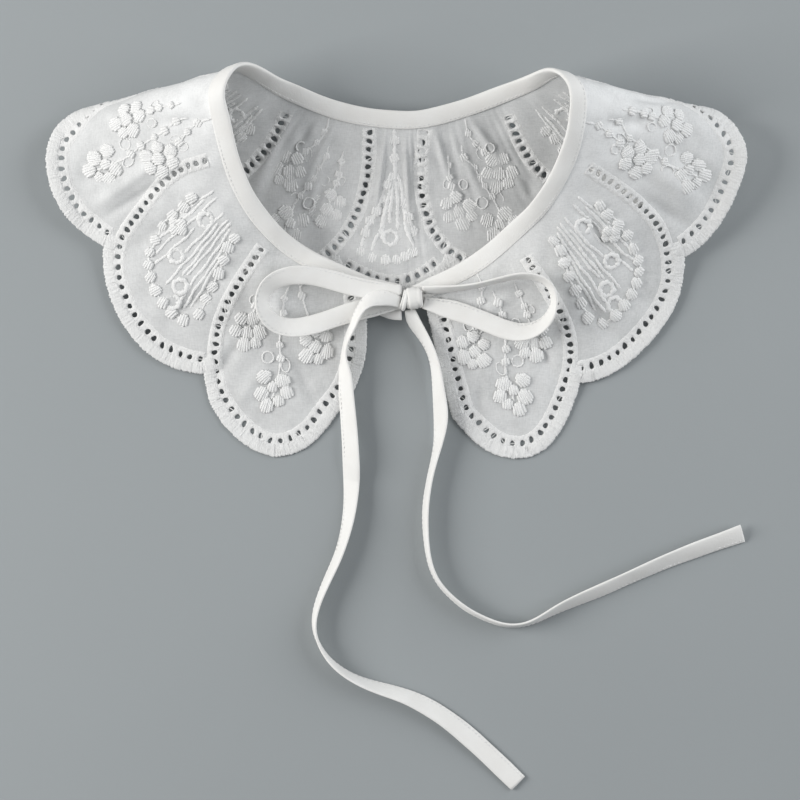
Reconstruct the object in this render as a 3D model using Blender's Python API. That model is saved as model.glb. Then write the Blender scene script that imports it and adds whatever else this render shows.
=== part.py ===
"""A scalloped cotton collar lying folded at the shoulders, its neck binding tied in a bow in front.

One length of cloth has eleven petals along a curved neck edge. It is worked out as a surface over two
numbers: `petal` runs along the neck edge from 0 at the left front, past 5.5 at the middle of the back,
to 11 at the right front, and `drop` runs from 0 at the neck edge to 1 at the tip of the longest petal.
The binding follows the neck edge, and the bow and its two free ends are ribbons on paths of their own.
Sizes are in millimetres until the last step, and the origin is under the middle of the collar.
"""

import bpy
import numpy as np

METRES = 0.001
CENTRE_X = -1.8
CENTRE_Y = 55.0

# The cloth's wall, and the satin border that stands proud of its outer side
CLOTH_WALL = 1.2
BORDER_WIDTH = 4.6
BORDER_RISE = 0.6
BORDER_SLOPE = 0.7
SEAM_GAP = 0.3

# The neck binding, and the ribbons of the bow, which are the same tape
BINDING_WIDTH = 7.5
BINDING_THICK = 2.2
RIBBON_WIDTH = 8.0
RIBBON_THICK = 1.6
TAPE_EDGE = 0.6
BINDING_STEP = 5.0
BINDING_LAST = 10.92
TAIL_STEP = 5.5
LOOP_STEP = 3.6

# The knot's wrap
KNOT_LOW = 3.2
KNOT_HIGH = 12.8
KNOT_ROUND = 1.1
KNOT_OUTLINE = ((1.6, 45.1), (8.5, 45.6), (8.9, 41.5), (6.0, 38.6), (2.8, 36.8), (1.2, 40.6))

# Where the petals part: every cusp between two petals has this drop
CUSP_DROP = 0.79

# Sections of the folded cloth: a point on the neck edge and one at the drop of the cusps.
# Columns: petal, neck_x, neck_y, neck_z, cusp_x, cusp_y, cusp_z
SECTIONS = (
    (0.0, -13.0, 46.5, 5.0, -12.3, -4.9, 0.6),
    (0.5, -37.0, 57.3, 9.0, -48.4, -6.6, 0.6),
    (1.0, -51.2, 67.8, 16.0, -80.3, 10.6, 1.0),
    (1.5, -61.6, 81.6, 24.0, -102.3, 34.4, 2.0),
    (2.0, -67.9, 98.0, 32.0, -120.9, 62.5, 4.0),
    (2.5, -71.3, 113.9, 39.0, -129.2, 91.0, 9.0),
    (2.75, -72.0, 121.9, 41.0, -132.0, 108.1, 9.0),
    (3.0, -67.8, 130.2, 38.0, -128.0, 118.5, 4.0),
    (3.25, -61.2, 132.0, 30.0, -119.5, 110.5, 1.2),
    (3.5, -53.8, 128.8, 21.0, -108.5, 98.3, 0.8),
    (4.0, -43.3, 124.2, 13.0, -84.8, 74.6, 0.6),
    (4.5, -28.4, 118.6, 9.0, -57.8, 61.9, 0.6),
    (5.0, -13.0, 115.1, 8.0, -27.5, 52.0, 0.6),
    (5.5, 0.0, 113.9, 8.0, 0.0, 50.4, 0.6),
    (6.0, 11.4, 114.7, 8.0, 20.9, 53.3, 0.6),
    (6.5, 27.6, 119.0, 9.0, 52.4, 60.6, 0.6),
    (7.0, 41.6, 123.7, 14.0, 82.0, 72.9, 0.6),
    (7.5, 54.4, 127.9, 25.0, 106.4, 98.3, 1.0),
    (7.75, 60.5, 129.6, 36.0, 118.0, 111.0, 3.0),
    (8.0, 65.3, 127.1, 46.0, 125.5, 118.0, 9.0),
    (8.25, 69.0, 120.9, 49.0, 128.8, 108.4, 14.0),
    (8.5, 69.5, 112.5, 47.0, 126.6, 95.4, 13.0),
    (9.0, 65.9, 95.4, 38.0, 116.0, 58.4, 4.0),
    (9.5, 57.0, 78.9, 28.0, 96.6, 33.6, 2.0),
    (10.0, 47.1, 68.8, 18.0, 73.7, 7.0, 1.0),
    (10.5, 30.5, 55.3, 9.0, 43.0, -7.4, 0.6),
    (11.0, 8.6, 44.4, 5.0, 20.0, -8.5, 0.6),
)

# The drop at which the cloth reaches the table and the power of its fall, with their change at the back
LEVEL_AT = 0.85
LEVEL_AT_BACK = -0.25
FALL_POWER = 1.1
FALL_POWER_BACK = 0.4
BACK_REACH = 2.2
BACK_FADE = 0.9

# How far the tip of each petal drops past the cusps, from the left front to the right front.
# A skew over one moves the tip of the left shoulder's petal towards the back.
TIP_DROP = (0.21, 0.145, 0.175, 0.12, 0.17, 0.10, 0.17, 0.12, 0.175, 0.145, 0.21)
TIP_SKEW = (1.0, 1.0, 1.15, 1.0, 1.0, 1.0, 1.0, 1.0, 1.0, 1.0, 1.0)
ARC_POWER = 0.9

# The front petals are cut straight down the front: their outline there, by share of the petal's width.
# Columns: share, left_drop, right_drop
FRONT_HEM = (
    (0.0, 0.710, 0.775),
    (0.1, 0.780, 0.845),
    (0.2, 0.870, 0.905),
    (0.3, 0.937, 0.950),
    (0.4, 0.975, 0.980),
    (0.5, 0.998, 1.000),
    (0.6, 0.993, 1.010),
    (0.7, 0.973, 0.994),
    (0.8, 0.939, 0.945),
    (0.9, 0.888, 0.872),
    (1.0, 0.790, 0.790),
)
FRONT_EDGE_IN = 0.012
LEFT_EDGE_CURVE = 0.118
RIGHT_EDGE_CURVE = 0.03
FRONT_EDGE_FROM = 0.45
FRONT_EDGE_REACH = 0.6

# Points along each petal, as shares of its width; the left half, which the right half mirrors
PETAL_SHARES = (
    (0.0, 0.012, 0.065, 0.077, 0.15, 0.24, 0.33, 0.43, 0.53, 0.63, 0.73, 0.83, 0.92),
    (0.0, 0.1, 0.2, 0.3, 0.4, 0.5, 0.6, 0.7, 0.8, 0.9),
    (0.0, 0.1, 0.2, 0.3, 0.4, 0.48, 0.56, 0.64, 0.71, 0.78, 0.85, 0.92),
    (0.0, 0.07, 0.14, 0.21, 0.28, 0.35, 0.43, 0.52, 0.61, 0.71, 0.81, 0.91),
    (0.0, 0.11, 0.22, 0.33, 0.44, 0.56, 0.67, 0.78, 0.89),
    (0.0, 0.1, 0.2, 0.3, 0.4),
)
INNER_ROWS = 6

# A border that runs aslant takes up more of the drop: the length of hem to a petal, and the most it takes
PETAL_HEM = 66.0
SLANT_LIMIT = 1.7
NECK_SLANT_LEAST = 0.6

# The binding's first points, from the knot to the left front
BINDING_START = ((-0.6, 43.6, 4.8), (-6.1, 44.8, 4.8))

# The ribbons: points on the middle line, the lean of the tape, which raises its right-hand edge, and its
# width. Columns: x, y, z, lean, width
LOOP_LEFT = (
    (0.6, 44.4, 10.0, 8.0, 4.2),
    (-15.4, 45.5, 11.0, 8.0, 8.0),
    (-30.8, 49.4, 13.0, 10.0, 8.0),
    (-44.9, 50.1, 15.5, 25.0, 8.0),
    (-53.4, 45.9, 16.0, 45.0, 8.0),
    (-55.9, 39.0, 15.5, 55.0, 8.0),
    (-50.5, 31.0, 13.0, 30.0, 8.0),
    (-36.5, 30.3, 10.5, 12.0, 8.0),
    (-23.2, 34.6, 8.6, 3.0, 8.0),
    (-11.4, 37.7, 8.0, 0.0, 8.0),
    (0.4, 39.8, 7.4, 0.0, 5.0),
)
LOOP_RIGHT = (
    (9.3, 44.6, 10.0, -45.0, 5.4),
    (26.8, 45.2, 13.2, -70.0, 8.0),
    (40.9, 48.4, 16.4, -72.0, 8.0),
    (53.3, 49.3, 19.4, -72.0, 8.0),
    (61.4, 46.4, 19.2, -70.0, 8.0),
    (64.7, 39.0, 16.4, -55.0, 8.0),
    (59.6, 30.2, 13.5, -30.0, 8.0),
    (50.7, 27.4, 11.5, -12.0, 8.0),
    (36.6, 31.0, 9.6, -6.0, 8.0),
    (22.0, 36.4, 8.6, -3.0, 8.0),
    (9.4, 39.5, 8.4, 0.0, 4.6),
)
TAIL_LEFT = (
    (0.2, 39.2, 9.9, 8.0, 4.2),
    (-4.5, 39.5, 11.4, 20.0, 5.6),
    (-9.8, 38.8, 12.8, 35.0, 7.4),
    (-17.5, 32.1, 13.4, 55.0, 8.0),
    (-22.0, 22.8, 9.2, 45.0, 8.0),
    (-22.4, 8.2, 6.5, 30.0, 8.0),
    (-21.5, -6.1, 4.7, 22.0, 8.0),
    (-19.3, -24.6, 5.2, 50.0, 8.0),
    (-20.5, -43.9, 0.0, 60.0, 8.0),
    (-25.8, -64.8, 0.0, 74.0, 8.0),
    (-32.8, -80.8, 0.0, 76.0, 8.0),
    (-34.9, -93.9, 0.0, 79.0, 8.0),
    (-29.5, -105.4, 0.0, 74.0, 8.0),
    (-16.4, -114.8, 0.0, 66.0, 8.0),
    (2.9, -121.4, 0.0, 50.0, 8.0),
    (18.9, -130.4, 0.0, 24.0, 8.0),
    (34.4, -143.5, 0.0, 10.0, 8.0),
    (48.4, -157.0, 0.0, 0.0, 8.0),
)
TAIL_RIGHT = (
    (4.0, 36.9, 5.4, -10.0, 4.2),
    (5.2, 33.0, 5.2, -35.0, 6.2),
    (8.4, 27.6, 5.2, -55.0, 7.6),
    (13.2, 18.0, 6.0, -64.0, 8.0),
    (15.8, 3.3, 5.8, -64.0, 8.0),
    (16.6, -6.1, 5.4, -64.0, 8.0),
    (15.2, -18.9, 4.4, -66.0, 8.0),
    (11.1, -37.7, 0.0, -76.0, 8.0),
    (10.7, -57.0, 0.0, -79.0, 8.0),
    (14.8, -73.0, 0.0, -79.0, 8.0),
    (24.2, -83.2, 0.0, -79.0, 8.0),
    (35.7, -89.8, 0.0, -79.0, 8.0),
    (50.0, -91.8, 0.0, -76.0, 8.0),
    (63.1, -86.1, 0.0, -64.0, 8.0),
    (81.6, -77.9, 0.0, -48.0, 8.0),
    (107.8, -66.4, 0.0, -42.0, 8.0),
    (140.2, -54.5, 0.0, -20.0, 8.0),
)
TUCK = (
    (0.6, 34.8, 5.6, 0.0, 4.6),
    (-3.4, 35.0, 4.9, 0.0, 4.2),
    (-7.8, 36.4, 4.6, 0.0, 3.8),
)


def unit(vectors):
    """Each vector at length one."""
    return vectors / np.linalg.norm(vectors, axis=-1, keepdims=True)


def smooth_curve(at, values):
    """A natural cubic spline through the values, as a function of a list of positions."""
    at = np.array(at, float)
    values = np.array(values, float)
    gaps = np.diff(at)
    count = len(at)
    lines = np.zeros((count, count))
    right = np.zeros_like(values)
    lines[0, 0] = lines[-1, -1] = 1.0
    for i in range(1, count - 1):
        lines[i, i - 1 : i + 2] = gaps[i - 1], 2.0 * (gaps[i - 1] + gaps[i]), gaps[i]
        right[i] = 6.0 * ((values[i + 1] - values[i]) / gaps[i] - (values[i] - values[i - 1]) / gaps[i - 1])
    bends = np.linalg.solve(lines, right)

    def curve(wanted):
        wanted = np.atleast_1d(np.asarray(wanted, float))
        i = np.clip(np.searchsorted(at, wanted) - 1, 0, count - 2)
        gap = gaps[i][:, None]
        after = (at[i + 1] - wanted)[:, None]
        before = (wanted - at[i])[:, None]
        cubic = (bends[i] * after**3 + bends[i + 1] * before**3) / (6.0 * gap)
        straight = (values[i] / gap - bends[i] * gap / 6.0) * after
        return cubic + straight + (values[i + 1] / gap - bends[i + 1] * gap / 6.0) * before

    return curve


def plan_origin(rows):
    """Table rows moved so that the middle of the collar is at x and y zero."""
    moved = np.array(rows, float)
    moved[:, 0] -= CENTRE_X
    moved[:, 1] -= CENTRE_Y
    return moved


section_table = np.array(SECTIONS, float)
neck_curve = smooth_curve(section_table[:, 0], plan_origin(section_table[:, 1:4]))
cusp_curve = smooth_curve(section_table[:, 0], plan_origin(section_table[:, 4:7]))
LAST_PETAL = section_table[-1, 0]
BACK_MIDDLE = LAST_PETAL / 2.0


def backness(petal):
    """One over the back, which lies on the table, and zero over the two fronts."""
    away = np.abs(petal - BACK_MIDDLE)
    share = np.clip((BACK_REACH - away) / BACK_FADE, 0.0, 1.0)
    return share * share * (3.0 - 2.0 * share)


def cloth_point(petal, drop):
    """The middle of the cloth's wall. Its height falls to the table faster over the back."""
    petal = np.asarray(petal, float).ravel()
    drop = np.asarray(drop, float).ravel()
    neck = neck_curve(petal)
    cusp = cusp_curve(petal)
    point = neck + (cusp - neck) * (drop / CUSP_DROP)[:, None]
    back = backness(petal)
    level_at = LEVEL_AT + LEVEL_AT_BACK * back
    power = FALL_POWER + FALL_POWER_BACK * back
    left_to_fall = np.clip(1.0 - drop / level_at, 0.0, 1.0) ** power
    point[:, 2] = cusp[:, 2] + (neck[:, 2] - cusp[:, 2]) * left_to_fall
    return point


def front_hem(share, side):
    """Drop of the hem over a front petal, where share is 0 at the front edge. Side is 1 on the left."""
    table = np.array(FRONT_HEM)
    return np.interp(share, table[:, 0], table[:, side])


def hem_drop(petal):
    """Drop of the scalloped hem. Each petal is an arc between two cusps."""
    index = np.minimum(petal.astype(int), len(TIP_DROP) - 1)
    share = np.clip(petal - index, 0.0, 1.0)
    share = np.where(petal > BACK_MIDDLE, 1.0 - share, share) ** np.array(TIP_SKEW)[index]
    arc = np.abs(np.sin(np.pi * share)) ** ARC_POWER
    hem = CUSP_DROP + np.array(TIP_DROP)[index] * arc
    hem = np.where(petal < 1.0, front_hem(petal, 1), hem)
    return np.where(petal > LAST_PETAL - 1.0, front_hem(LAST_PETAL - petal, 2), hem)


def front_edge_shift(petal, down):
    """How far a point moves in from petal 0 or petal 11, to cut the front edges to their curve."""
    from_edge = np.minimum(petal, LAST_PETAL - petal)
    bend = np.clip((down - FRONT_EDGE_FROM) / (1.0 - FRONT_EDGE_FROM), 0.0, 1.0) ** 2
    fade = np.clip(1.0 - from_edge / FRONT_EDGE_REACH, 0.0, 1.0) ** 2
    left = (FRONT_EDGE_IN + LEFT_EDGE_CURVE * bend) * fade
    right = (FRONT_EDGE_IN + RIGHT_EDGE_CURVE * bend) * fade
    return np.where(petal < BACK_MIDDLE, left, -right)


def petal_columns():
    """Positions of the cloth's columns of points, from the left front to the right front."""
    half = [i + share for i, shares in enumerate(PETAL_SHARES) for share in shares]
    return np.array(half + [BACK_MIDDLE] + [LAST_PETAL - p for p in reversed(half)])


def along(petal):
    """The neck edge's direction, the direction of the drop and the length of one whole drop."""
    step = 0.01
    low = np.clip(petal - step, 0.0, LAST_PETAL)
    high = np.clip(petal + step, 0.0, LAST_PETAL)
    neck_way = unit(neck_curve(high) - neck_curve(low))
    fall = cusp_curve(petal) - neck_curve(petal)
    length = np.linalg.norm(fall, axis=1)
    return neck_way, fall / length[:, None], length / CUSP_DROP


def cloth_grid():
    """Petal and drop of every point of the cloth, as rows from the neck to the hem, and the border's rise."""
    columns = petal_columns()
    neck_way, fall_way, length = along(columns)
    across = np.linalg.norm(np.cross(neck_way, fall_way), axis=1)
    neck = (BINDING_WIDTH / 2.0 + SEAM_GAP) / np.maximum(across, NECK_SLANT_LEAST) / length
    hem = hem_drop(columns)
    tilt = np.gradient(hem * length, columns * PETAL_HEM)
    reach = np.minimum(np.sqrt(1.0 + tilt * tilt), SLANT_LIMIT) / length
    to_hem = (BORDER_WIDTH, BORDER_WIDTH - BORDER_SLOPE, BORDER_SLOPE, 0.0)
    inner = hem - reach * BORDER_WIDTH
    rows = [neck + (inner - neck) * i / (INNER_ROWS + 1) for i in range(INNER_ROWS + 1)]
    rows += [hem - reach * distance for distance in to_hem]
    drop = np.array(rows)
    petal = np.array([columns + front_edge_shift(columns, drop[i] / hem) for i in range(len(rows))])
    rise = np.zeros_like(drop)
    rise[-3:-1, 1:-1] = 1.0
    rise[:-1, 1:3] = 1.0
    rise[:-1, -3:-1] = 1.0
    return petal, drop, rise * BORDER_RISE


def cloth_normals(petal, drop):
    """The way the outer side faces: up on the two fronts, down on the back."""
    step = 0.004
    by_petal = cloth_point(petal + step, drop) - cloth_point(petal - step, drop)
    by_drop = cloth_point(petal, drop + step) - cloth_point(petal, drop - step)
    return unit(np.cross(by_petal, by_drop))


def make_object(name, points, faces, material):
    """A closed mesh in metres, smooth-shaded."""
    mesh = bpy.data.meshes.new(name)
    mesh.from_pydata((np.asarray(points) * METRES).tolist(), [], faces)
    mesh.validate()
    for polygon in mesh.polygons:
        polygon.use_smooth = True
    mesh.materials.append(material)
    made = bpy.data.objects.new(name, mesh)
    bpy.context.scene.collection.objects.link(made)
    return made


def make_material(name, colour, roughness):
    """A plain matt cloth."""
    material = bpy.data.materials.new(name)
    material.use_nodes = True
    shader = material.node_tree.nodes["Principled BSDF"]
    shader.inputs["Base Color"].default_value = colour
    shader.inputs["Roughness"].default_value = roughness
    return material


def build_cloth(material):
    """The petals as one wall: an outer and an inner side joined round the edge."""
    petal, drop, rise = cloth_grid()
    rows, columns = petal.shape
    middle = cloth_point(petal, drop)
    facing = cloth_normals(petal.ravel(), drop.ravel())
    outer = middle + facing * (CLOTH_WALL / 2.0 + rise.reshape(-1, 1))
    inner = middle - facing * (CLOTH_WALL / 2.0)
    lift = np.maximum(0.0, -np.minimum(outer[:, 2], inner[:, 2]))
    outer[:, 2] += lift
    inner[:, 2] += lift
    back = rows * columns
    faces = []
    for row in range(rows - 1):
        for column in range(columns - 1):
            a = row * columns + column
            b = a + 1
            c = b + columns
            d = a + columns
            faces.append((a, b, c, d))
            faces.append((a + back, d + back, c + back, b + back))
    rim = [column for column in range(columns)]
    rim += [row * columns + columns - 1 for row in range(1, rows)]
    rim += [(rows - 1) * columns + column for column in range(columns - 2, -1, -1)]
    rim += [row * columns for row in range(rows - 2, 0, -1)]
    for start, end in zip(rim, rim[1:] + rim[:1]):
        faces.append((start, start + back, end + back, end))
    return make_object("collar_cloth", np.concatenate([outer, inner]), faces, material)


def even_steps(points, step, extra=None):
    """Points spaced evenly along the path, with the extra columns carried along."""
    reach = np.concatenate([[0.0], np.cumsum(np.linalg.norm(np.diff(points, axis=0), axis=1))])
    count = max(3, int(round(reach[-1] / step)) + 1)
    wanted = np.linspace(0.0, reach[-1], count)
    spaced = np.stack([np.interp(wanted, reach, points[:, i]) for i in range(3)], axis=1)
    if extra is None:
        return spaced
    carried = np.stack([np.interp(wanted, reach, extra[:, i]) for i in range(extra.shape[1])], axis=1)
    return spaced, carried


def path_way(points):
    """The direction of travel at each point of a path."""
    return unit(np.gradient(points, axis=0))


def tape_solid(name, middle, across, widths, thick, material):
    """A tape with thin rounded edges, swept along a middle line, with square ends."""
    across = unit(across)
    upright = unit(np.cross(across, path_way(middle)))
    shape = ((-1, 0, 0), (-1, 1, -1), (1, -1, -1), (1, 0, 0), (1, -1, 1), (-1, 1, 1))
    points = []
    for centre, side, up, width in zip(middle, across, upright, widths):
        for half_widths, edges, half_thicks in shape:
            to_side = half_widths * width / 2.0 + edges * TAPE_EDGE
            points.append(centre + side * to_side + up * half_thicks * thick / 2.0)
    count = len(shape)
    faces = []
    for i in range(len(middle) - 1):
        for k in range(count):
            a = i * count + k
            b = i * count + (k + 1) % count
            faces.append((a, a + count, b + count, b))
    faces.append(tuple(range(count)))
    last = (len(middle) - 1) * count
    faces.append(tuple(range(last + count - 1, last - 1, -1)))
    return make_object(name, points, faces, material)


def build_binding(material):
    """The bias binding over the whole neck edge, which runs on to the knot at both ends."""
    fine = np.linspace(0.0, BINDING_LAST, 441)
    neck = neck_curve(fine)
    fall = along(fine)[1]
    start = plan_origin(BINDING_START)
    middle = np.concatenate([start, neck])
    side = np.concatenate([fall[:1].repeat(len(start), axis=0), fall])
    middle, side = even_steps(middle, BINDING_STEP, side)
    way = path_way(middle)
    side = side - way * np.sum(side * way, axis=1, keepdims=True)
    widths = np.full(len(middle), BINDING_WIDTH)
    return tape_solid("neck_binding", middle, side, widths, BINDING_THICK, material)


def leaning_tape(name, table, step, material):
    """A ribbon on a table of points, raised to rest on the table top wherever it would reach under it."""
    rows = plan_origin(table)
    chord = np.concatenate([[0.0], np.cumsum(np.linalg.norm(np.diff(rows[:, :3], axis=0), axis=1))])
    curve = smooth_curve(chord, rows)
    fine = curve(np.linspace(0.0, chord[-1], 300))
    middle, carried = even_steps(fine[:, :3], step, fine[:, 3:])
    tilt = np.radians(carried[:, 0])
    width = np.minimum(carried[:, 1], RIBBON_WIDTH)
    rest = np.abs(np.sin(tilt)) * width / 2.0 + np.cos(tilt) * RIBBON_THICK / 2.0
    middle[:, 2] = np.maximum(middle[:, 2], rest)
    way = path_way(middle)
    level = unit(np.cross(way, (0.0, 0.0, 1.0)))
    upward = np.cross(level, way)
    across = level * np.cos(tilt)[:, None] + upward * np.sin(tilt)[:, None]
    return tape_solid(name, middle, across, width, RIBBON_THICK, material)


def build_knot(material):
    """The wrap of tape round the middle of the bow, as rounded layers of its outline."""
    outline = np.array(KNOT_OUTLINE) - (CENTRE_X, CENTRE_Y)
    heart = outline.mean(axis=0)
    size = np.linalg.norm(outline - heart, axis=1).mean()
    layers = (
        (KNOT_LOW, 1.0 - KNOT_ROUND / size),
        (KNOT_LOW + KNOT_ROUND, 1.0),
        (KNOT_HIGH - KNOT_ROUND, 1.0),
        (KNOT_HIGH, 1.0 - KNOT_ROUND / size),
    )
    points = [(*(heart + (corner - heart) * share), height) for height, share in layers for corner in outline]
    count = len(outline)
    faces = [tuple(range(count)), tuple(range(len(points) - 1, len(points) - count - 1, -1))]
    for layer in range(len(layers) - 1):
        for k in range(count):
            a = layer * count + k
            b = layer * count + (k + 1) % count
            faces.append((a, a + count, b + count, b))
    return make_object("bow_knot", points, faces, material)


def main():
    for obj in list(bpy.data.objects):
        bpy.data.objects.remove(obj)
    cloth = make_material("cotton_voile", (0.86, 0.87, 0.88, 1.0), 0.9)
    tape = make_material("cotton_tape", (0.87, 0.85, 0.82, 1.0), 0.85)
    build_cloth(cloth)
    build_binding(tape)
    build_knot(tape)
    leaning_tape("bow_loop_left", LOOP_LEFT, LOOP_STEP, tape)
    leaning_tape("bow_loop_right", LOOP_RIGHT, LOOP_STEP, tape)
    leaning_tape("bow_tuck", TUCK, LOOP_STEP, tape)
    leaning_tape("tie_left", TAIL_LEFT, TAIL_STEP, tape)
    leaning_tape("tie_right", TAIL_RIGHT, TAIL_STEP, tape)


main()
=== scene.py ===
"""The looks of a scalloped cotton collar that lies folded at the shoulders, its ties in a bow.

The cloth is one surface over `petal`, which runs along the neck edge from 0 at the left front to 11 at
the right front, and `drop`, which runs from 0 at the neck edge to 1 at the tip of the longest petal.
Everything that is sewn on it is placed by those two numbers. Sizes are in millimetres until a mesh is made.
"""

import bpy
import numpy as np
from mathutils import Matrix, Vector
from mathutils.geometry import delaunay_2d_cdt


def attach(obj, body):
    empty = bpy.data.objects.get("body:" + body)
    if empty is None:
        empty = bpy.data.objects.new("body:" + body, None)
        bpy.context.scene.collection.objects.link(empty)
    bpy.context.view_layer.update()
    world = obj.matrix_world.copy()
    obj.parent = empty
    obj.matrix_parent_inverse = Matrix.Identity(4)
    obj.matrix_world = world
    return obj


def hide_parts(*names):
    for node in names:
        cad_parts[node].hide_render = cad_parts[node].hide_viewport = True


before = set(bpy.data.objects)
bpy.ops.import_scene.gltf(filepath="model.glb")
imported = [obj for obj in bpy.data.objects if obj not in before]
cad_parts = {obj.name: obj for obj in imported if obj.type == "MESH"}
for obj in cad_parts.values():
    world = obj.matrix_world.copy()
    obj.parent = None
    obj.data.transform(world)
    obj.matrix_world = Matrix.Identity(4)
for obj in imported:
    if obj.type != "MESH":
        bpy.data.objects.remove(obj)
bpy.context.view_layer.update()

METRES = 0.001
CENTRE_X = -1.8
CENTRE_Y = 55.0
RANDOM_SEED = 11

# The photograph's view: straight down from a metre above the middle of its frame
CAMERA_PLACE = (0.0018, -0.055, 1.0)
CAMERA_SENSOR = 36.0
VIEW_WIDTH = 0.328

# The lights in metres. Columns: name, place, aim, size, power, colour
LIGHTS = (
    ("key", (-1.15, 0.05, 0.7), (0.0, -0.03, 0.0), 0.75, 18.6, (1.0, 0.99, 0.975)),
    ("fill", (1.15, 0.35, 0.6), (0.0, 0.02, 0.0), 1.3, 16.4, (0.97, 0.985, 1.0)),
)
SKY_COLOUR = (0.93, 0.96, 1.0, 1.0)
SKY_STRENGTH = 0.27
FLOOR_REACH = 1.6

# How much the voile covers of what lies below. It covers more by the high folds, whose heights are in metres:
# painted light, which makes the raised shoulders whiter
VEIL_LEAST = 0.57
VEIL_MOST = 0.71
VEIL_CLOUD = 0.09
VEIL_PAINTED_LIGHT = 0.3
PAINTED_LIGHT_FROM = 0.014
PAINTED_LIGHT_TO = 0.034

# The cloth and what is sewn on it
VOILE_THICK = 0.3
VOILE_STEP = 1.55
DOMAIN_WIDE = 60.0
DOMAIN_DEEP = 82.0
REST_LEAST = 0.02
CLOTH_LEAST = 0.45
BORDER_WIDTH = 5.1
BORDER_OVER = 0.68
BORDER_UNDER = 0.55
BORDER_STEP = 0.36
BORDER_AROUND = 12
HOLE_FROM_EDGE = 6.3
HOLE_PITCH_SIDE = 3.6
HOLE_PITCH_HEM = 4.1
HOLE_ALONG = 0.97
HOLE_ACROSS = 1.2
BAND_WIDTH = 6.8
BAND_OVER = 0.5
BAND_UNDER = 0.4
CELL_ALONG = 5
CELL_ACROSS = 6
CELL_SHARES = (0.0, 0.10, 0.30, 0.65, 1.0)
STROKE_WIDE = 0.88
STROKE_SHARES = np.array((-1.0, -0.9, -0.5, 0.0, 0.5, 0.9, 1.0))
STROKE_TAPER = np.array((0.62, 0.94, 1.0, 1.03, 1.0, 0.94, 0.62))
STROKE_SIDE = np.array((-0.8, -0.48, 0.0, 0.48, 0.8, 0.0))
STROKE_HIGH = np.array((-0.4, 0.9, 1.0, 0.9, -0.4, -1.0))
PAD_LIFT = 0.35
FLOWER_OVER = 0.88
FLOWER_FAN_FROM = 9.0
STRAY_SHARE = 0.24
STEM_STEP = 0.6
BEAD_SIZE = 2.7
CORD_AROUND = 6

# The tape of the binding and the bow
BINDING_WIDTH = 7.4
BINDING_THICK = 1.9
BINDING_LAST = 10.92
BINDING_STEP = 0.9
BINDING_WAVE = 0.14
BINDING_START = ((-0.6, 43.6, 4.8), (-6.1, 44.8, 4.8))
BINDING_END = ((9.6, 44.6, 5.8), (6.4, 43.2, 6.0))
RIBBON_WIDTH = 8.0
RIBBON_CAD_THICK = 1.6
RIBBON_THICK = 1.25
RIBBON_STEP = 1.0
RIBBON_WAVE = 0.18
STITCH_PITCH = 1.8
STITCH_LONG = 1.15
STITCH_WIDE = 0.42
STITCH_OVER = 0.16
STITCH_UNDER = 0.1
STITCH_BOXY = 0.85
STITCH_AROUND = 12
STITCH_LEVELS = (1.0, 0.8, 0.4)
STITCH_LINE = 0.72

CUSP_DROP = 0.79

# Sections of the folded cloth. Columns: petal, neck_x, neck_y, neck_z, cusp_x, cusp_y, cusp_z
SECTIONS = (
    (0.0, -13.0, 46.5, 5.0, -12.3, -4.9, 0.6),
    (0.5, -37.0, 57.3, 9.0, -48.4, -6.6, 0.6),
    (1.0, -51.2, 67.8, 16.0, -80.3, 10.6, 1.0),
    (1.5, -61.6, 81.6, 24.0, -102.3, 34.4, 2.0),
    (2.0, -67.9, 98.0, 32.0, -120.9, 62.5, 4.0),
    (2.5, -71.3, 113.9, 39.0, -129.2, 91.0, 9.0),
    (2.75, -72.0, 121.9, 41.0, -132.0, 108.1, 9.0),
    (3.0, -67.8, 130.2, 38.0, -128.0, 118.5, 4.0),
    (3.25, -61.2, 132.0, 30.0, -119.5, 110.5, 1.2),
    (3.5, -53.8, 128.8, 21.0, -108.5, 98.3, 0.8),
    (4.0, -43.3, 124.2, 13.0, -84.8, 74.6, 0.6),
    (4.5, -28.4, 118.6, 9.0, -57.8, 61.9, 0.6),
    (5.0, -13.0, 115.1, 8.0, -27.5, 52.0, 0.6),
    (5.5, 0.0, 113.9, 8.0, 0.0, 50.4, 0.6),
    (6.0, 11.4, 114.7, 8.0, 20.9, 53.3, 0.6),
    (6.5, 27.6, 119.0, 9.0, 52.4, 60.6, 0.6),
    (7.0, 41.6, 123.7, 14.0, 82.0, 72.9, 0.6),
    (7.5, 54.4, 127.9, 25.0, 106.4, 98.3, 1.0),
    (7.75, 60.5, 129.6, 36.0, 118.0, 111.0, 3.0),
    (8.0, 65.3, 127.1, 46.0, 125.5, 118.0, 9.0),
    (8.25, 69.0, 120.9, 49.0, 128.8, 108.4, 14.0),
    (8.5, 69.5, 112.5, 47.0, 126.6, 95.4, 13.0),
    (9.0, 65.9, 95.4, 38.0, 116.0, 58.4, 4.0),
    (9.5, 57.0, 78.9, 28.0, 96.6, 33.6, 2.0),
    (10.0, 47.1, 68.8, 18.0, 73.7, 7.0, 1.0),
    (10.5, 30.5, 55.3, 9.0, 43.0, -7.4, 0.6),
    (11.0, 8.6, 44.4, 5.0, 20.0, -8.5, 0.6),
)
LEVEL_AT = 0.85
LEVEL_AT_BACK = -0.25
FALL_POWER = 1.1
FALL_POWER_BACK = 0.4
BACK_REACH = 2.2
BACK_FADE = 0.9

# The scalloped hem. Its border runs on past each cusp by a share of a petal
BORDER_LEAD_AT_CUSP = 0.055
TIP_DROP = (0.21, 0.145, 0.175, 0.12, 0.17, 0.10, 0.17, 0.12, 0.175, 0.145, 0.21)
TIP_SKEW = (1.0, 1.0, 1.15, 1.0, 1.0, 1.0, 1.0, 1.0, 1.0, 1.0, 1.0)
ARC_POWER = 0.9
HEM_STEP = 0.01

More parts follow.
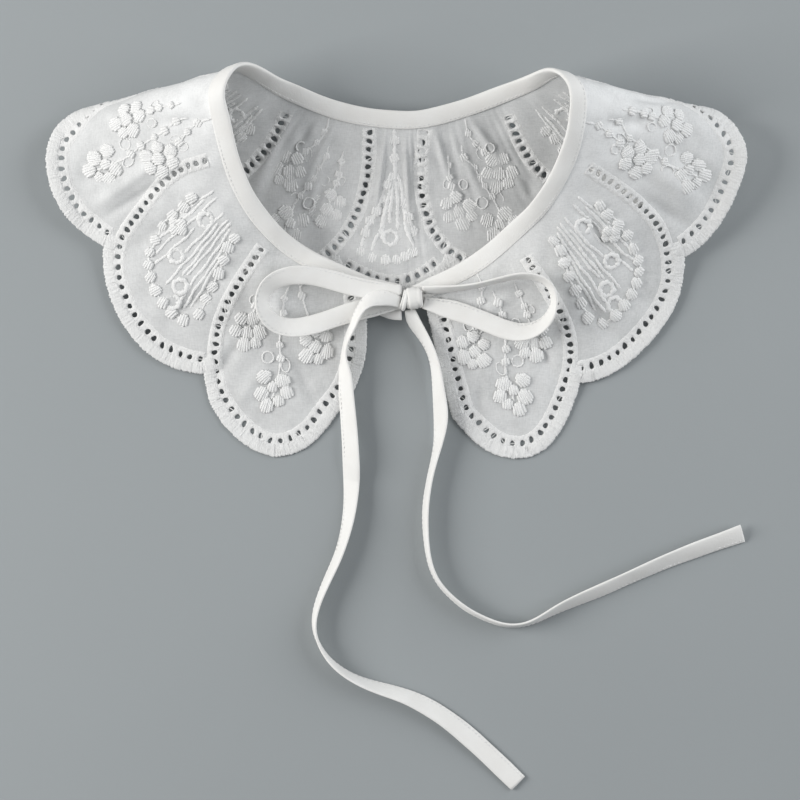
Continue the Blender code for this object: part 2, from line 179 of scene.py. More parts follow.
# The front petals' outline by share of their width. Columns: share, left_drop, right_drop
FRONT_HEM = (
    (0.0, 0.710, 0.775),
    (0.1, 0.780, 0.845),
    (0.2, 0.870, 0.905),
    (0.3, 0.937, 0.950),
    (0.4, 0.975, 0.980),
    (0.5, 0.998, 1.000),
    (0.6, 0.993, 1.010),
    (0.7, 0.973, 0.994),
    (0.8, 0.939, 0.945),
    (0.9, 0.888, 0.872),
    (1.0, 0.790, 0.790),
)
FRONT_EDGE_IN = 0.012
LEFT_EDGE_CURVE = 0.118
RIGHT_EDGE_CURVE = 0.03
FRONT_EDGE_FROM = 0.45
FRONT_EDGE_REACH = 0.6

# Where each petal's row of eyelets comes down from the neck, before it turns along the hem: points of
# petal and drop, then the first and last petal position of its run along the hem, then its last point
EYELET_ROWS = (
    (((1.03, 0.09), (1.07, 0.26), (1.075, 0.46), (1.035, 0.60), (0.985, 0.685)), (0.90, 0.0), None),
    (((2.07, 0.11), (2.15, 0.25), (2.14, 0.38), (2.05, 0.54), (1.985, 0.66)), (1.88, 1.14), (1.035, 0.728)),
    (((3.06, 0.09), (3.12, 0.26), (3.11, 0.41), (3.04, 0.56), (2.98, 0.66)), (2.88, 2.13), (2.03, 0.727)),
    (((4.08, 0.10), (4.14, 0.26), (4.11, 0.40), (4.04, 0.56), (3.97, 0.66)), (3.86, 3.12), (3.04, 0.715)),
    (((5.05, 0.05), (5.12, 0.26), (5.105, 0.42), (5.015, 0.60), (4.95, 0.68)), (4.86, 4.14), (4.06, 0.725)),
    ((), (5.02, 5.97), None),
    (((5.93, 0.05), (5.81, 0.25), (5.80, 0.38), (5.84, 0.51), (5.95, 0.64)), (6.12, 6.88), (6.95, 0.725)),
    (((6.90, 0.10), (6.84, 0.28), (6.85, 0.40), (6.93, 0.54), (7.01, 0.65)), (7.13, 7.90), (7.965, 0.715)),
    (((7.94, 0.09), (7.88, 0.26), (7.89, 0.41), (7.96, 0.56), (8.02, 0.66)), (8.13, 8.88), (8.96, 0.73)),
    (((8.945, 0.12), (8.92, 0.33), (8.925, 0.46), (8.96, 0.59), (9.03, 0.68)), (9.14, 9.86), (9.985, 0.722)),
    (((10.02, 0.13), (9.96, 0.30), (9.935, 0.47), (9.96, 0.60), (10.02, 0.69)), (10.11, 11.0), None),
)

CREASE_DEPTH = 1.7
STREAK_HEIGHT = 0.2

# Soft troughs and ridges. Columns: petal, drop, turn in degrees from the neck edge, length, width, height
CREASES = (
    (0.90, 0.66, 80.0, 26.0, 4.0, -0.9),
    (0.72, 0.72, 75.0, 22.0, 4.5, 0.7),
    (0.38, 0.62, 120.0, 20.0, 4.0, -0.7),
    (0.50, 0.25, 15.0, 24.0, 6.0, 0.8),
    (1.30, 0.55, 70.0, 30.0, 6.0, -1.0),
    (1.85, 0.45, 85.0, 34.0, 5.0, -0.6),
    (1.50, 0.15, 10.0, 26.0, 5.0, 0.8),
    (2.30, 0.60, 95.0, 28.0, 7.0, 1.2),
    (2.16, 0.55, 88.0, 26.0, 4.0, -0.9),
    (2.45, 0.70, 70.0, 22.0, 5.0, -0.8),
    (2.62, 0.07, 20.0, 16.0, 6.0, -1.3),
    (2.55, 0.20, 60.0, 24.0, 6.0, -0.9),
    (4.22, 0.35, 80.0, 34.0, 5.0, -0.9),
    (4.38, 0.20, 95.0, 26.0, 4.0, 0.8),
    (4.62, 0.16, 100.0, 22.0, 4.5, -0.9),
    (4.75, 0.40, 100.0, 30.0, 4.0, 0.6),
    (5.16, 0.28, 96.0, 26.0, 4.0, 0.9),
    (5.26, 0.30, 94.0, 30.0, 3.5, -1.0),
    (5.60, 0.30, 86.0, 30.0, 4.0, -1.0),
    (5.74, 0.26, 88.0, 26.0, 4.0, 0.8),
    (6.10, 0.22, 80.0, 26.0, 4.0, -0.9),
    (6.52, 0.14, 70.0, 20.0, 4.5, -0.9),
    (6.30, 0.30, 75.0, 28.0, 4.5, -0.6),
    (6.72, 0.50, 100.0, 26.0, 5.0, 0.6),
    (8.45, 0.25, 120.0, 26.0, 6.0, -0.9),
    (8.70, 0.60, 85.0, 28.0, 7.0, 1.2),
    (8.86, 0.62, 92.0, 24.0, 4.0, -1.0),
    (8.55, 0.72, 80.0, 20.0, 5.0, -0.8),
    (8.10, 0.45, 110.0, 24.0, 5.0, -0.8),
    (9.30, 0.35, 90.0, 30.0, 5.0, -0.7),
    (9.70, 0.60, 95.0, 26.0, 5.0, -0.8),
    (10.15, 0.60, 100.0, 26.0, 4.0, -0.7),
    (10.45, 0.25, 10.0, 24.0, 6.0, 0.8),
    (10.70, 0.72, 70.0, 22.0, 4.5, -0.7),
)

# A flower of satin pads and its smaller fellow. Columns: x, y, length, width
FLOWER = (
    (5.4, -2.9, 4.8, 5.9),
    (-3.2, -2.9, 5.9, 5.4),
    (-6.0, 2.1, 4.8, 5.9),
    (4.6, 4.7, 5.4, 6.3),
    (-3.2, 6.4, 4.2, 4.5),
    (1.1, 9.4, 4.8, 6.0),
    (0.6, 0.6, 3.6, 4.4),
)
SIDE_FLOWER = (
    (3.4, -4.6, 4.6, 5.0),
    (-1.6, -5.2, 4.6, 5.0),
    (5.0, 1.0, 4.2, 4.8),
    (0.2, 1.2, 4.4, 5.2),
    (1.0, 6.4, 5.0, 5.8),
    (-5.2, 0.6, 4.7, 5.8),
    (-3.7, 5.1, 4.0, 4.5),
)

# Flowered petals: petal, whether mirrored, then share and drop of the low flower and of the two side ones
FLOWERED = (
    (0, False, 0.578, 0.655, 0.345, 0.400, 0.850, 0.470),
    (2, False, 0.494, 0.640, 0.335, 0.350, 0.737, 0.480),
    (4, False, 0.606, 0.605, 0.411, 0.355, 0.837, 0.475),
    (6, True, 0.590, 0.605, 0.450, 0.350, 0.861, 0.490),
    (8, True, 0.402, 0.655, 0.323, 0.362, 0.697, 0.530),
    (10, True, 0.588, 0.660, 0.348, 0.405, 0.812, 0.490),
)

# Open rings beside the flowers. Columns: which flower, share aside, drop above, length, width, turn, thread
FLOWER_RINGS = (
    (1, 0.0, 0.125, 3.6, 4.0, 0.0, 0.7),
    (1, 0.10, 0.10, 2.8, 5.6, -20.0, 0.6),
    (0, -0.045, 0.115, 3.6, 5.6, 15.0, 0.65),
    (0, 0.08, 0.12, 4.6, 4.8, 0.0, 0.75),
    (2, -0.09, 0.12, 3.4, 4.0, 0.0, 0.7),
    (2, 0.05, 0.14, 2.6, 3.8, 20.0, 0.6),
)

# The lined petals, by share of their width and drop: pads down both sides, rings, and wavy lines
LINED = ((1, False), (3, False), (7, True), (9, True))
LINED_PADS = (
    (0.876, 0.263), (0.862, 0.320), (0.868, 0.395), (0.855, 0.465), (0.812, 0.532), (0.776, 0.590),
    (0.722, 0.632), (0.655, 0.660), (0.576, 0.680), (0.488, 0.690), (0.400, 0.690), (0.300, 0.665),
    (0.228, 0.580), (0.242, 0.500), (0.256, 0.432), (0.272, 0.360), (0.300, 0.292), (0.336, 0.233),
    (0.330, 0.175),
)
LINED_ARCS = ((0, 8), (7, 12), (12, 19))
LINED_RINGS = ((0.648, 0.250), (0.628, 0.485), (0.462, 0.562), (0.440, 0.648))
LINED_FLOWER = (0.772, 0.390)
LINED_FLOWER_PADS = (
    (-1.9, 0.0, 3.8, 3.8), (1.9, 0.4, 3.8, 3.8), (0.0, -1.9, 3.8, 3.6), (0.0, 2.2, 3.6, 3.6),
)
# Columns: share and drop at the top, share and drop at the foot
LINED_LINES = (
    (0.80, 0.14, 0.83, 0.36),
    (0.78, 0.20, 0.80, 0.55),
    (0.72, 0.14, 0.75, 0.58),
    (0.67, 0.32, 0.69, 0.61),
    (0.57, 0.14, 0.60, 0.44),
    (0.54, 0.20, 0.545, 0.62),
    (0.50, 0.14, 0.50, 0.52),
    (0.455, 0.14, 0.47, 0.50),
    (0.41, 0.16, 0.40, 0.62),
    (0.365, 0.24, 0.35, 0.64),
    (0.33, 0.30, 0.31, 0.60),
)

# The middle petal of the back: a stem that opens into a fan, with a ring and small pads at its foot
FAN_PETAL = 5
FAN_LINES = (
    ((0.412, 0.045), (0.424, 0.19), (0.425, 0.32)),
    ((0.41, 0.26), (0.375, 0.36), (0.345, 0.43), (0.305, 0.54), (0.25, 0.66)),
    ((0.42, 0.28), (0.405, 0.40), (0.39, 0.52)),
    ((0.43, 0.28), (0.455, 0.36), (0.47, 0.42), (0.48, 0.55)),
    ((0.44, 0.26), (0.50, 0.31), (0.545, 0.44), (0.59, 0.56), (0.65, 0.65)),
    ((0.40, 0.26), (0.33, 0.33), (0.285, 0.40), (0.25, 0.46), (0.205, 0.52), (0.165, 0.65)),
    ((0.56, 0.42), (0.61, 0.50), (0.66, 0.60)),
    ((0.365, 0.42), (0.335, 0.52), (0.33, 0.60)),
)
FAN_RING = (0.405, 0.588)
FAN_PADS = (
    (0.416, 0.100), (0.424, 0.190), (0.344, 0.323), (0.292, 0.388), (0.260, 0.453), (0.208, 0.505),
    (0.185, 0.565), (0.164, 0.662), (0.260, 0.688), (0.372, 0.700), (0.470, 0.700), (0.556, 0.685),
    (0.640, 0.665), (0.512, 0.323), (0.568, 0.417), (0.605, 0.487), (0.650, 0.560),
)

# The ribbons. Columns: x, y, z, lean, width
LOOP_LEFT = (
    (0.6, 44.4, 10.0, 8.0, 4.2),
    (-15.4, 45.5, 11.0, 8.0, 8.0),
    (-30.8, 49.4, 13.0, 10.0, 8.0),
    (-44.9, 50.1, 15.5, 25.0, 8.0),
    (-53.4, 45.9, 16.0, 45.0, 8.0),
    (-55.9, 39.0, 15.5, 55.0, 8.0),
    (-50.5, 31.0, 13.0, 30.0, 8.0),
    (-36.5, 30.3, 10.5, 12.0, 8.0),
    (-23.2, 34.6, 8.6, 3.0, 8.0),
    (-11.4, 37.7, 8.0, 0.0, 8.0),
    (0.4, 39.8, 7.4, 0.0, 5.0),
)
LOOP_RIGHT = (
    (9.3, 44.6, 10.0, -60.0, 5.4),
    (26.8, 45.6, 13.2, -76.0, 8.0),
    (40.9, 48.6, 16.4, -79.0, 8.0),
    (52.9, 49.8, 18.4, -79.0, 8.0),
    (59.6, 46.6, 18.2, -78.0, 8.0),
    (62.0, 39.0, 16.4, -72.0, 8.0),
    (58.0, 30.9, 13.5, -52.0, 8.0),
    (49.8, 27.6, 11.5, -26.0, 8.0),
    (36.6, 31.0, 9.6, -8.0, 8.0),
    (22.0, 36.4, 8.6, -3.0, 8.0),
    (9.4, 39.5, 8.4, 0.0, 4.6),
)
TAIL_LEFT = (
    (0.2, 39.6, 9.9, 0.0, 4.2),
    (-4.5, 41.0, 11.4, -6.0, 5.8),
    (-9.8, 41.2, 12.8, -28.0, 7.4),
    (-14.8, 38.4, 13.4, -56.0, 8.0),
    (-18.6, 31.6, 11.6, -68.0, 8.0),
    (-21.6, 24.6, 9.0, -76.0, 8.0),
    (-22.8, 18.6, 7.6, -78.0, 8.0),
    (-22.5, 12.6, 6.6, -60.0, 8.0),
    (-22.0, 4.2, 5.6, -42.0, 8.0),
    (-21.2, -6.1, 4.7, -36.0, 8.0),
    (-20.0, -24.6, 5.2, -32.0, 8.0),
    (-20.5, -43.9, 0.0, -48.0, 8.0),
    (-25.8, -64.8, 0.0, -66.0, 8.0),
    (-32.8, -80.8, 0.0, -74.0, 8.0),
    (-34.9, -93.9, 0.0, -80.0, 8.0),
    (-29.5, -105.4, 0.0, -95.0, 8.0),
    (-16.4, -114.8, 0.0, -113.0, 8.0),
    (2.9, -121.4, 0.0, -132.0, 8.0),
    (18.9, -130.4, 0.0, -156.0, 8.0),
    (34.4, -143.5, 0.0, -170.0, 8.0),
    (48.4, -157.0, 0.0, -180.0, 8.0),
)
TAIL_RIGHT = (
    (4.0, 36.9, 5.4, -10.0, 4.2),
    (5.2, 33.0, 5.2, -35.0, 6.2),
    (8.4, 27.6, 5.2, -55.0, 7.6),
    (13.2, 18.0, 6.0, -64.0, 8.0),
    (15.8, 3.3, 5.8, -54.0, 8.0),
    (16.6, -6.1, 5.4, -48.0, 8.0),
    (15.2, -18.9, 4.4, -66.0, 8.0),
    (11.1, -37.7, 0.0, -76.0, 8.0),
    (10.7, -57.0, 0.0, -79.0, 8.0),
    (14.8, -73.0, 0.0, -79.0, 8.0),
    (24.2, -83.2, 0.0, -79.0, 8.0),
    (35.7, -89.8, 0.0, -79.0, 8.0),
    (50.0, -91.8, 0.0, -76.0, 8.0),
    (63.1, -86.1, 0.0, -64.0, 8.0),
    (81.6, -77.9, 0.0, -48.0, 8.0),
    (107.8, -66.4, 0.0, -42.0, 8.0),
    (140.2, -54.5, 0.0, -20.0, 8.0),
)
TUCK = (
    (0.6, 34.8, 5.6, 0.0, 4.6),
    (-3.4, 35.0, 4.9, 0.0, 4.2),
    (-7.8, 36.4, 4.6, 0.0, 3.8),
)

# The knot: a wide turn of tape and a narrow one beside it.
# Columns: x, y, z, half height in y and z, width, tilt
KNOT_TURNS = (
    (5.6, 41.4, 8.1, 3.9, 4.2, 7.2, 7.0),
    (1.9, 40.6, 8.0, 3.9, 4.0, 2.6, -16.0),
)
KNOT_TAPE = 1.0
KNOT_PLEATS = 0.34
KNOT_STEPS = 56
KNOT_AROUND = 40

chance = np.random.default_rng(RANDOM_SEED)


# Curves and the cloth's surface, as the solids have them


def unit(vectors):
    """Each vector at length one."""
    return vectors / np.maximum(np.linalg.norm(vectors, axis=-1, keepdims=True), 1e-9)


def smooth_curve(at, values):
    """A natural cubic spline through the values, as a function of a list of positions."""
    at = np.array(at, float)
    values = np.array(values, float)
    gaps = np.diff(at)
    count = len(at)
    lines = np.zeros((count, count))
    right = np.zeros_like(values)
    lines[0, 0] = lines[-1, -1] = 1.0
    for i in range(1, count - 1):
        lines[i, i - 1 : i + 2] = gaps[i - 1], 2.0 * (gaps[i - 1] + gaps[i]), gaps[i]
        after = (values[i + 1] - values[i]) / gaps[i]
        before = (values[i] - values[i - 1]) / gaps[i - 1]
        right[i] = 6.0 * (after - before)
    bends = np.linalg.solve(lines, right)

    def curve(wanted):
        wanted = np.atleast_1d(np.asarray(wanted, float))
        i = np.clip(np.searchsorted(at, wanted) - 1, 0, count - 2)
        gap = gaps[i][:, None]
        after = (at[i + 1] - wanted)[:, None]
        before = (wanted - at[i])[:, None]
        cubic = (bends[i] * after**3 + bends[i + 1] * before**3) / (6.0 * gap)
        straight = (values[i] / gap - bends[i] * gap / 6.0) * after
        return cubic + straight + (values[i + 1] / gap - bends[i + 1] * gap / 6.0) * before

    return curve


def plan_origin(rows):
    """Table rows moved so that the middle of the collar is at x and y zero."""
    moved = np.array(rows, float)
    moved[:, 0] -= CENTRE_X
    moved[:, 1] -= CENTRE_Y
    return moved


section_table = np.array(SECTIONS, float)
neck_curve = smooth_curve(section_table[:, 0], plan_origin(section_table[:, 1:4]))
cusp_curve = smooth_curve(section_table[:, 0], plan_origin(section_table[:, 4:7]))
LAST_PETAL = section_table[-1, 0]
BACK_MIDDLE = LAST_PETAL / 2.0


def backness(petal):
    """One over the back, which lies on the table, and zero over the two fronts."""
    away = np.abs(petal - BACK_MIDDLE)
    share = np.clip((BACK_REACH - away) / BACK_FADE, 0.0, 1.0)
    return share * share * (3.0 - 2.0 * share)


def cloth_point(petal, drop):
    """The middle of the cloth without its creases."""
    petal = np.asarray(petal, float).ravel()
    drop = np.asarray(drop, float).ravel()
    neck = neck_curve(petal)
    cusp = cusp_curve(petal)
    point = neck + (cusp - neck) * (drop / CUSP_DROP)[:, None]
    back = backness(petal)
    level_at = LEVEL_AT + LEVEL_AT_BACK * back
    power = FALL_POWER + FALL_POWER_BACK * back
    left_to_fall = np.clip(1.0 - drop / level_at, 0.0, 1.0) ** power
    point[:, 2] = cusp[:, 2] + (neck[:, 2] - cusp[:, 2]) * left_to_fall
    return point


def hem_drop(petal):
    """Drop of the scalloped hem."""
    index = np.minimum(petal.astype(int), len(TIP_DROP) - 1)
    share = np.clip(petal - index, 0.0, 1.0)
    share = np.where(petal > BACK_MIDDLE, 1.0 - share, share) ** np.array(TIP_SKEW)[index]
    arc = np.abs(np.sin(np.pi * share)) ** ARC_POWER
    hem = CUSP_DROP + np.array(TIP_DROP)[index] * arc
    table = np.array(FRONT_HEM)
    hem = np.where(petal < 1.0, np.interp(petal, table[:, 0], table[:, 1]), hem)
    right = np.interp(LAST_PETAL - petal, table[:, 0], table[:, 2])
    return np.where(petal > LAST_PETAL - 1.0, right, hem)


def front_edge_shift(petal, down):
    """How far a point moves in from petal 0 or petal 11, to cut the front edges to their curve."""
    from_edge = np.minimum(petal, LAST_PETAL - petal)
    bend = np.clip((down - FRONT_EDGE_FROM) / (1.0 - FRONT_EDGE_FROM), 0.0, 1.0) ** 2
    fade = np.clip(1.0 - from_edge / FRONT_EDGE_REACH, 0.0, 1.0) ** 2
    left = (FRONT_EDGE_IN + LEFT_EDGE_CURVE * bend) * fade
    right = (FRONT_EDGE_IN + RIGHT_EDGE_CURVE * bend) * fade
    return np.where(petal < BACK_MIDDLE, left, -right)


def slopes(petal, drop):
    """The surface's change by petal and by drop, and its outer normal."""
    step = 0.004
    petal = np.asarray(petal, float).ravel()
    drop = np.asarray(drop, float).ravel()
    by_petal = (cloth_point(petal + step, drop) - cloth_point(petal - step, drop)) / (2.0 * step)
    by_drop = (cloth_point(petal, drop + step) - cloth_point(petal, drop - step)) / (2.0 * step)
    return by_petal, by_drop, unit(np.cross(by_petal, by_drop))


def crease_height(petal, drop):
    """Height of the soft creases, towards the outer side, faded out at the neck and the hem."""
    across = petal * DOMAIN_WIDE
    down = drop * DOMAIN_DEEP
    height = np.zeros_like(across)
    for at_petal, at_drop, turn, length, width, high in CREASES:
        cos, sin = np.cos(np.radians(turn)), np.sin(np.radians(turn))
        x = across - at_petal * DOMAIN_WIDE
        y = down - at_drop * DOMAIN_DEEP
        run = (x * cos + y * sin) / (length / 2.0)
        off = (y * cos - x * sin) / (width / 2.0)
        height += CREASE_DEPTH * high * np.exp(-run * run - off * off)
    ripple = 0.26 * np.sin(across / 3.1 + 1.3 * np.sin(down / 5.3))
    ripple = ripple * np.sin(down / 4.3 + 0.9 * np.sin(across / 7.7))
    ripple += 0.45 * np.sin(across / 7.9 + 2.0 * np.sin(down / 13.0)) * np.cos(down / 9.7 - across / 31.0)
    streak = np.sin(across / 0.78 + 2.2 * np.sin(down / 17.0))
    streak = streak * (0.5 + 0.5 * np.sin(across / 4.9 + down / 40.0))
    ripple += STREAK_HEIGHT * backness(petal) * streak
    at_hem = np.clip((hem_drop(np.clip(petal, 0.0, LAST_PETAL)) - drop) * DOMAIN_DEEP / 14.0, 0.0, 1.0)
    at_neck = np.clip(down / 12.0, 0.0, 1.0)
    return (height + ripple) * at_hem * at_neck


def lay(petal, drop):
    """Points in the middle of the creased cloth, and its outer normals."""
    petal = np.asarray(petal, float).ravel()
    drop = np.asarray(drop, float).ravel()
    facing = slopes(petal, drop)[2]
    point = cloth_point(petal, drop) + facing * crease_height(petal, drop)[:, None]
    point[:, 2] = np.maximum(point[:, 2], CLOTH_LEAST)
    return point, facing


def move_on(petal, drop, offset):
    """The petal and drop that are reached from a place by an offset in millimetres along the surface."""
    by_petal, by_drop, facing = slopes(petal, drop)
    pp = np.sum(by_petal * by_petal, axis=1)
    pd = np.sum(by_petal * by_drop, axis=1)
    dd = np.sum(by_drop * by_drop, axis=1)
    p = np.sum(by_petal * offset, axis=1)
    d = np.sum(by_drop * offset, axis=1)
    spread = pp * dd - pd * pd
    return petal + (p * dd - d * pd) / spread, drop + (d * pp - p * pd) / spread


def inset(petal, drop, distance):
    """A line moved sideways over the cloth: inward for the outer edge walked from left to right."""
    point = cloth_point(petal, drop)
    facing = slopes(petal, drop)[2]
    way = unit(np.gradient(point, axis=0))
    return move_on(petal, drop, np.cross(way, facing) * distance)


def walked(points):
    """How far along a path each of its points lies."""
    return np.concatenate([[0.0], np.cumsum(np.linalg.norm(np.diff(points, axis=0), axis=1))])


def even_line(petal, drop, step):
    """A line over the cloth at even steps of real length, and how far along it each step lies."""
    reach = walked(cloth_point(petal, drop))
    count = max(2, int(round(reach[-1] / step)) + 1)
    wanted = np.linspace(0.0, reach[-1], count)
    return np.interp(wanted, reach, petal), np.interp(wanted, reach, drop), wanted


def even_steps(points, step, extra):
    """Points spaced evenly along a path, with the extra columns carried along."""
    reach = walked(points)
    count = max(3, int(round(reach[-1] / step)) + 1)
    wanted = np.linspace(0.0, reach[-1], count)
    spaced = np.stack([np.interp(wanted, reach, points[:, i]) for i in range(3)], axis=1)
    carried = np.stack([np.interp(wanted, reach, extra[:, i]) for i in range(extra.shape[1])], axis=1)
    return spaced, carried


def path_way(points):
    """The direction of travel at each point of a path."""
    return unit(np.gradient(points, axis=0))


# Meshes


class Heap:
    """Points and faces of many small forms that make one piece."""

    def __init__(self):
        """Start with no form in it."""
        self.points = []
        self.faces = []
        self.count = 0

    def add(self, points, faces):
        """Put in one form, whose faces count its points from zero."""
        points = np.asarray(points, float).reshape(-1, 3)
        self.faces += [tuple(int(i) + self.count for i in face) for face in faces]
        self.points.append(points)
        self.count += len(points)

    def piece(self, name, material):
        """Make the piece, with no point lower than the table top."""
        points = np.concatenate(self.points)
        points[:, 2] = np.maximum(points[:, 2], REST_LEAST)
        mesh = bpy.data.meshes.new(name)
        mesh.from_pydata((points * METRES).tolist(), [], self.faces)
        mesh.validate()
        mesh.polygons.foreach_set("use_smooth", [True] * len(mesh.polygons))
        mesh.materials.append(material)
        made = bpy.data.objects.new(name, mesh)
        bpy.context.scene.collection.objects.link(made)
        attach(made, "root")
        return made


def tube_faces(rings, count, closed=False):
    """Faces between rings of points, with the two ends capped unless the tube is closed."""
    faces = []
    for i in range(rings if closed else rings - 1):
        a = i * count
        b = (i + 1) % rings * count
        for k in range(count):
            n = (k + 1) % count
            faces.append((a + k, a + n, b + n, b + k))
    if not closed:
        faces.append(tuple(range(count - 1, -1, -1)))
        faces.append(tuple(range((rings - 1) * count, rings * count)))
    return faces


def around_circle(count):
    """Even angles round a circle."""
    return 2.0 * np.pi * np.arange(count) / count


def boxy(values, power):
    """Sines or cosines pushed out towards a box, the more the lower the power."""
    return np.sign(values) * np.abs(values) ** power


def round_profile(count, power_across, power_up):
    """Points round a flattened circle, as shares of its half width and half height."""
    turn = around_circle(count)
    return boxy(np.cos(turn), power_across), boxy(np.sin(turn), power_up)


def cord_on_cloth(heap, petal, drop, width, over, under, rough, ribs=0.0):
    """A raised line of stitches along a line over the cloth."""
    point, facing = lay(petal, drop)
    way = path_way(point)
    side = unit(np.cross(way, facing))
    across, up = round_profile(CORD_AROUND, 0.7, 0.8)
    number = len(point)
    half = width / 2.0 * (1.0 + rough * chance.uniform(-1.0, 1.0, number))
    swell = 1.0 + ribs * chance.uniform(-1.0, 1.0, number)
    from_end = np.minimum(np.arange(number), number - 1 - np.arange(number))
    taper = np.minimum(1.0, 0.45 + 0.55 * from_end / 2.0)
    high = np.where(up > 0.0, over, under)[None, :] * up[None, :] * (swell * taper)[:, None]
    wide = across[None, :] * (half * taper)[:, None]
    rings = point[:, None, :] + side[:, None, :] * wide[:, :, None] + facing[:, None, :] * high[:, :, None]
    heap.add(rings, tube_faces(number, CORD_AROUND))


def stitch_faces():
    """Faces of one stitch: rings from the rim to a top point, then one ring and a low point."""
    pairs = [(k, (k + 1) % STITCH_AROUND) for k in range(STITCH_AROUND)]
    faces = []
    for i in range(len(STITCH_LEVELS) - 1):
        a = i * STITCH_AROUND
        b = a + STITCH_AROUND
        faces += [(a + k, a + n, b + n, b + k) for k, n in pairs]
    top = len(STITCH_LEVELS) * STITCH_AROUND
    low = top + 1
    last = top - STITCH_AROUND
    faces += [(last + k, last + n, top) for k, n in pairs]
    faces += [(n, k, low + k, low + n) for k, n in pairs]
    faces += [(low + n, low + k, low + STITCH_AROUND) for k, n in pairs]
    return faces


STITCH_FACES = stitch_faces()


def stitch(heap, centre, first, second, facing):
    """One short domed stitch, its length along the first direction and its width along the second."""
    turn = around_circle(STITCH_AROUND)
    x = boxy(np.cos(turn), STITCH_BOXY) * STITCH_LONG / 2.0
    y = boxy(np.sin(turn), STITCH_BOXY) * STITCH_WIDE / 2.0
    lean = chance.uniform(0.0, 6.28, 3)[1]
    # A draw that nothing uses: without it all later draws would change
    chance.uniform(-1.0, 1.0, STITCH_AROUND)
    rows = []
    for level in STITCH_LEVELS:
        dome = (1.0 - level**3.0) ** 0.6
        grain = 1.0 + 0.13 * chance.uniform(-1.0, 1.0, STITCH_AROUND)
        lump = 1.0 + 0.10 * np.cos(turn + lean) * level
        rows.append(np.stack([x * level, y * level, STITCH_OVER * dome * grain * lump], axis=1))
    rows.append(np.array([[0.0, 0.0, STITCH_OVER]]))
    rows.append(np.stack([x * 0.8, y * 0.8, np.full(STITCH_AROUND, -STITCH_UNDER)], axis=1))
    rows.append(np.array([[0.0, 0.0, -STITCH_UNDER * 1.1]]))
    local = np.concatenate(rows)
    heap.add(centre + local[:, :1] * first + local[:, 1:2] * second + local[:, 2:] * facing, STITCH_FACES)


def place(petal, drop):
    """One place on the cloth: its point, the way along the neck, the way down, and the outer normal."""
    point, facing = lay([petal], [drop])
    by_petal, by_drop, _ = slopes([petal], [drop])
    down = unit(by_drop[0])
    along = unit(np.cross(down, facing[0]))
    return point[0], along, down, facing[0]


def turned(first, second, degrees):
    """Two directions turned in their own plane."""
    cos, sin = np.cos(np.radians(degrees)), np.sin(np.radians(degrees))
    return first * cos + second * sin, second * cos - first * sin


# Materials


def new_material(name, colour, roughness, sheen=0.0):
    """A matt material, its node tree and its shader."""
    material = bpy.data.materials.new(name)
    material.use_nodes = True
    tree = material.node_tree
    shader = tree.nodes["Principled BSDF"]
    shader.inputs["Base Color"].default_value = (*colour, 1.0)
    shader.inputs["Roughness"].default_value = roughness
    shader.inputs["Specular IOR Level"].default_value = 0.25
    shader.inputs["Sheen Weight"].default_value = sheen
    return material, tree, shader


def noise(tree, scale, detail=2.0, stretch=(1.0, 1.0, 1.0)):
    """Noise in the object's own metres, drawn out along the axes by the stretch."""
    place_node = tree.nodes.new("ShaderNodeTexCoord")
    sized = tree.nodes.new("ShaderNodeMapping")
    sized.inputs["Scale"].default_value = stretch
    grain = tree.nodes.new("ShaderNodeTexNoise")
    grain.inputs["Scale"].default_value = scale
    grain.inputs["Detail"].default_value = detail
    tree.links.new(place_node.outputs["Object"], sized.inputs["Vector"])
    tree.links.new(sized.outputs["Vector"], grain.inputs["Vector"])
    return grain.outputs["Fac"]


def remap(tree, value, low, high, start=0.3, end=0.7):
    """A value spread over a new range."""
    node = tree.nodes.new("ShaderNodeMapRange")
    node.inputs["From Min"].default_value = start
    node.inputs["From Max"].default_value = end
    node.inputs["To Min"].default_value = low
    node.inputs["To Max"].default_value = high
    tree.links.new(value, node.inputs["Value"])
    return node.outputs["Result"]


def add_values(tree, first, second):
    """The sum of two values."""
    node = tree.nodes.new("ShaderNodeMath")
    tree.links.new(first, node.inputs[0])
    tree.links.new(second, node.inputs[1])
    return node.outputs["Value"]


def blend_colours(tree, shader, value, dark, light):
    """The base colour as a blend of two by a value."""
    mix = tree.nodes.new("ShaderNodeMix")
    mix.data_type = "RGBA"
    mix.inputs["A"].default_value = (*dark, 1.0)
    mix.inputs["B"].default_value = (*light, 1.0)
    tree.links.new(value, mix.inputs["Factor"])
    tree.links.new(mix.outputs["Result"], shader.inputs["Base Color"])


def bump(tree, shader, height, distance, strength=1.0):
    """Relief from a height."""
    node = tree.nodes.new("ShaderNodeBump")
    node.inputs["Distance"].default_value = distance
    node.inputs["Strength"].default_value = strength
    tree.links.new(height, node.inputs["Height"])
    tree.links.new(node.outputs["Normal"], shader.inputs["Normal"])


